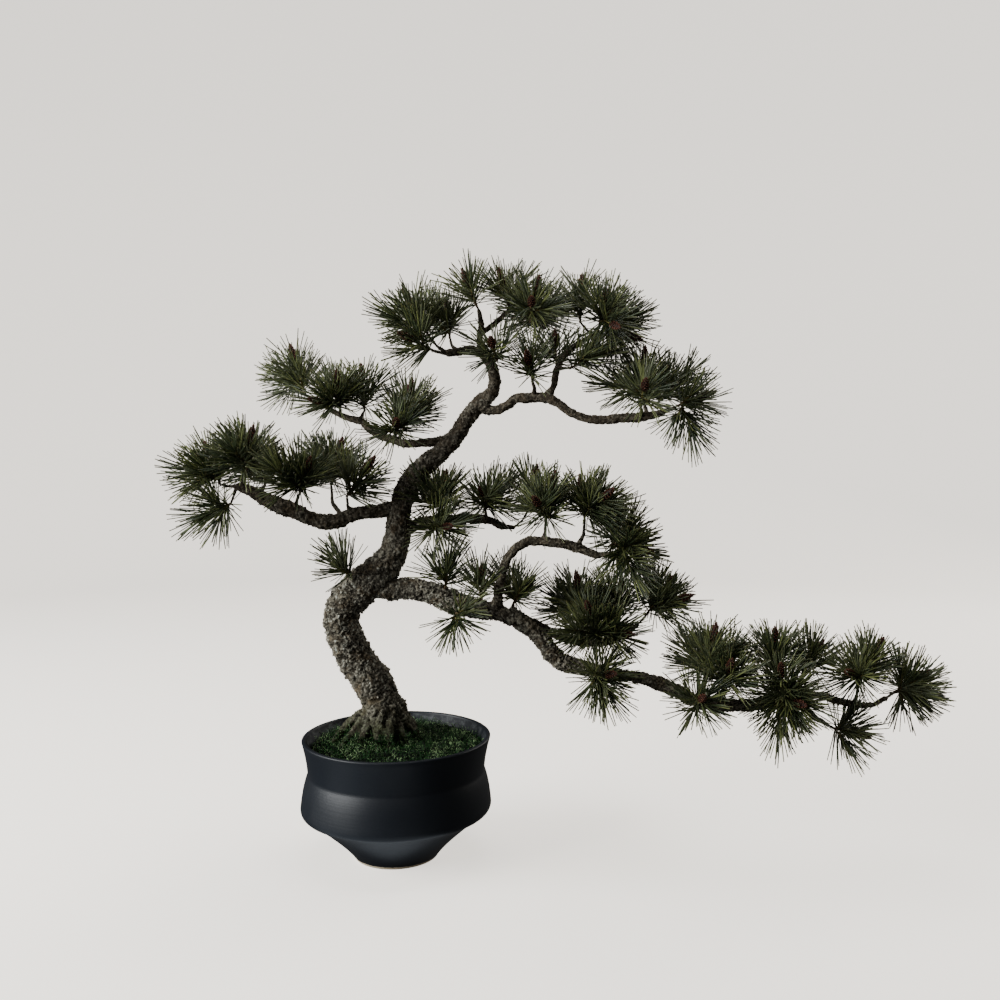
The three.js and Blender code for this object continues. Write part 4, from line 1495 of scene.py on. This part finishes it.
@dataclass
class Foliage:
    """The needles, shoots and cones, one piece of each for every part of the crown."""

    cone_length: float = 0.0205
    cone_overlap: float = 0.002
    crests: dict[ShootEnd, float] = field(       # how far the uppermost needles lean out
        default_factory=lambda: {ShootEnd.CONE: math.radians(42), ShootEnd.TUFT: math.radians(16)})
    bare_foot: float = 0.004
    top_margin: float = 0.002
    least_drop: float = 0.001
    forks: int = 2
    full_forks: dict[str, int] = field(
        default_factory=lambda: {"inner": 3, "left": 4, "middle": 3, "tail": 4, "upper": 3})
    fork_places: tuple[float, float] = (0.02, 0.32)
    fork_leans: tuple[float, float] = (math.radians(34), math.radians(62))
    fork_lengths: tuple[float, float] = (0.013, 0.021)
    fork_vigour: float = 0.94
    fork_rise: float = 0.2

    def limbs(self) -> dict[str, list[str]]:
        """The spray nodes of each part of the crown.

        Returns:
            The nodes by the part's name.
        """
        parts: dict[str, list[str]] = {}
        for node in sorted(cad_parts):
            if node.startswith("spray_"):
                parts.setdefault(node.split("_")[1], []).append(node)
        return parts

    def leafy_stretch(self, shoot: Shoot) -> Stretch:
        """The stretch of a shoot that bears needles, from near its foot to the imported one's top.

        Args:
            shoot: The shoot.

        Returns:
            Its lower and upper end.
        """
        high, low = shoot.leafy
        whole = (shoot.tip - shoot.foot).length
        top = max(high - self.top_margin, self.least_drop)
        return shoot.below_tip(max(low, whole - self.bare_foot)), shoot.below_tip(top)

    def stem_stretch(self, shoot: Shoot) -> Stretch:
        """The stretch of a shoot that is stem: all of it, or up to its cone."""
        top = self.cone_length - self.cone_overlap if shoot.end is ShootEnd.CONE else 0.0
        return shoot.foot, shoot.below_tip(top)

    def side_shoots(self, shoot: Shoot, seed: int, forks: int) -> list[Shoot]:
        """The short leafy tufts that fork from the lower part of a shoot.

        Args:
            shoot: The shoot.
            seed: The seed of their places and ways.
            forks: How many there are.

        Returns:
            The tufts.
        """
        draw = np.random.default_rng(seed)
        start = draw.uniform(0, FULL_TURN)
        made = []
        for k in range(forks):
            foot = shoot.foot.lerp(shoot.tip, draw.uniform(*self.fork_places))
            turn = Quaternion(shoot.heading, start + FULL_TURN * k / forks + draw.uniform(-0.5, 0.5))
            lean = draw.uniform(*self.fork_leans)
            aside = turn @ shoot.heading.orthogonal().normalized()
            heading = shoot.heading * math.cos(lean) + aside * math.sin(lean)
            heading.z += self.fork_rise
            length = draw.uniform(*self.fork_lengths)
            made.append(Shoot(foot, foot + heading.normalized() * length, ShootEnd.TUFT, (0.0, length)))
        return made

    def build(self) -> None:
        """Builds every part of the crown."""
        needles = NeedleRecipe(Needle("pine_needles").build())
        shoots = ShootRecipe(YoungWood("young_shoots").build())
        cones = ConeRecipe(ConeScale("cone_scales").build())
        for part, nodes in self.limbs().items():
            main = [shoot for node in nodes for shoot in SprayReader(node).shoots()]
            forks = self.full_forks.get(part, self.forks)
            side = [tuft for i, shoot in enumerate(main) for tuft in self.side_shoots(shoot, i, forks)]
            found = main + side
            log.info("%s: %d shoots, %d side tufts", part, len(main), len(side))
            guide = stretches(f"leafy_{part}", [self.leafy_stretch(shoot) for shoot in found],
                              crest=[self.crests[shoot.end] for shoot in found],
                              vigour=[1.0] * len(main) + [self.fork_vigour] * len(side))
            settle(needles.grow(guide, f"needles_{part}"), "needles", *nodes)
            guide = stretches(f"stems_{part}", [self.stem_stretch(shoot) for shoot in found])
            stem = shoots.grow(guide, f"shoots_{part}")
            stem.data.shade_smooth()
            settle(stem, "bark")
            ends = [(shoot.below_tip(self.cone_length), shoot.tip)
                    for shoot in main if shoot.end is ShootEnd.CONE]
            if ends:
                settle(cones.grow(stretches(f"tips_{part}", ends), f"cones_{part}"), "cones")


# ------------------------------------------------------------------ studio


@dataclass
class Softbox:
    """One large soft light."""

    name: str
    place: tuple[float, float, float]
    size: tuple[float, float]
    power: float
    colour: tuple[float, float, float] = (1.0, 1.0, 1.0)
    target: tuple[float, float, float] = (0.12, 0.0, 0.3)

    def build(self) -> None:
        """Hangs the light and aims it."""
        light = bpy.data.lights.new(self.name, "AREA")
        light.shape = "RECTANGLE"
        light.size, light.size_y = self.size
        light.energy = self.power
        light.color = self.colour
        lamp = shown(self.name, light)
        lamp.location = self.place
        way = Vector(self.target) - Vector(self.place)
        lamp.rotation_euler = way.to_track_quat("-Z", "Y").to_euler()
        lamp.visible_camera = False


@dataclass
class Studio:
    """A pale round cove, soft lights and the camera at the photograph's viewing angle."""

    floor_radius: float = 2.4
    bend: float = 1.1
    wall: float = 2.2
    segments: int = 128
    camera_place: tuple[float, float, float] = (0.1426, -1.072, 0.4275)
    lens: float = 36.0
    sensor: float = 36.0
    shift: tuple[float, float] = (-0.03, -0.046)
    ambient: float = 0.09
    air: Linear = (1.0, 0.98, 0.95, 1.0)
    lights: tuple[Softbox, ...] = (
        Softbox("key", (-2.1, -0.9, 1.02), (1.9, 1.4), 138.0, (0.97, 0.99, 1.0)),
        Softbox("front", (0.3, -2.4, 1.4), (1.4, 1.4), 3.5, (0.94, 0.97, 1.0)),
        Softbox("back", (1.9, 1.5, 1.3), (1.4, 1.4), 26.0, (1.0, 0.96, 0.9)),
        Softbox("top", (0.1, 0.3, 2.3), (1.6, 1.6), 34.0),
        Softbox("bounce", (-0.07, -0.13, 0.003), (0.3, 0.15), 0.11, (0.8, 0.9, 1.0), (-0.07, -0.13, 1.0)))

    def build_cove(self) -> None:
        """Builds the floor, which curves up all round into a wall and lights nothing."""
        outline = [(self.floor_radius * i / 4, 0.0) for i in range(4)]
        outline += [(self.floor_radius + self.bend * math.sin(turn), self.bend * (1 - math.cos(turn)))
                    for turn in np.linspace(0, math.pi / 2, 14)]
        outline.append((self.floor_radius + self.bend, self.bend + self.wall))
        cove = turned("studio_cove", outline, self.segments, closed=False)
        Paper("studio_paper").dress(cove)
        cove.visible_diffuse = False
        cove.visible_glossy = False

    def build_camera(self) -> None:
        """Sets up the camera where the photograph was taken from."""
        lens = bpy.data.cameras.new("camera")
        lens.lens = self.lens
        lens.sensor_width = self.sensor
        lens.shift_x, lens.shift_y = self.shift
        lens.clip_end = 20.0
        camera = shown("camera", lens)
        camera.location = self.camera_place
        camera.rotation_euler = (math.pi / 2, 0.0, 0.0)
        bpy.context.scene.camera = camera

    def build(self) -> None:
        """Builds the whole studio, with an even ambient light."""
        self.build_camera()
        self.build_cove()
        for light in self.lights:
            light.build()
        world = bpy.data.worlds.new("studio_air")
        world.use_nodes = True
        air = world.node_tree.nodes["Background"]
        air.inputs["Color"].default_value = self.air
        air.inputs["Strength"].default_value = self.ambient
        bpy.context.scene.world = world


# ------------------------------------------------------------------ the whole part


def write_sizes() -> None:
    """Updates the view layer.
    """
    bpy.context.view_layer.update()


def main() -> None:
    """Builds the studio, then the pot, the wood, the ground and the foliage."""
    logging.basicConfig(level=logging.INFO, format="%(name)s: %(message)s")
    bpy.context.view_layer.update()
    Studio().build()
    Pot().build(Stoneware("stoneware_glaze"))
    wood = Wood().build(Bark("pine_bark"))
    ground = Ground()
    bed = ground.build_bed(MossBed("moss_felt"))
    ground.build_sprigs(bed, wood, Moss("moss_green"))
    Earth("potting_soil").dress(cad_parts["soil"])
    Foliage().build()
    write_sizes()


if __name__ == "__main__":
    main()
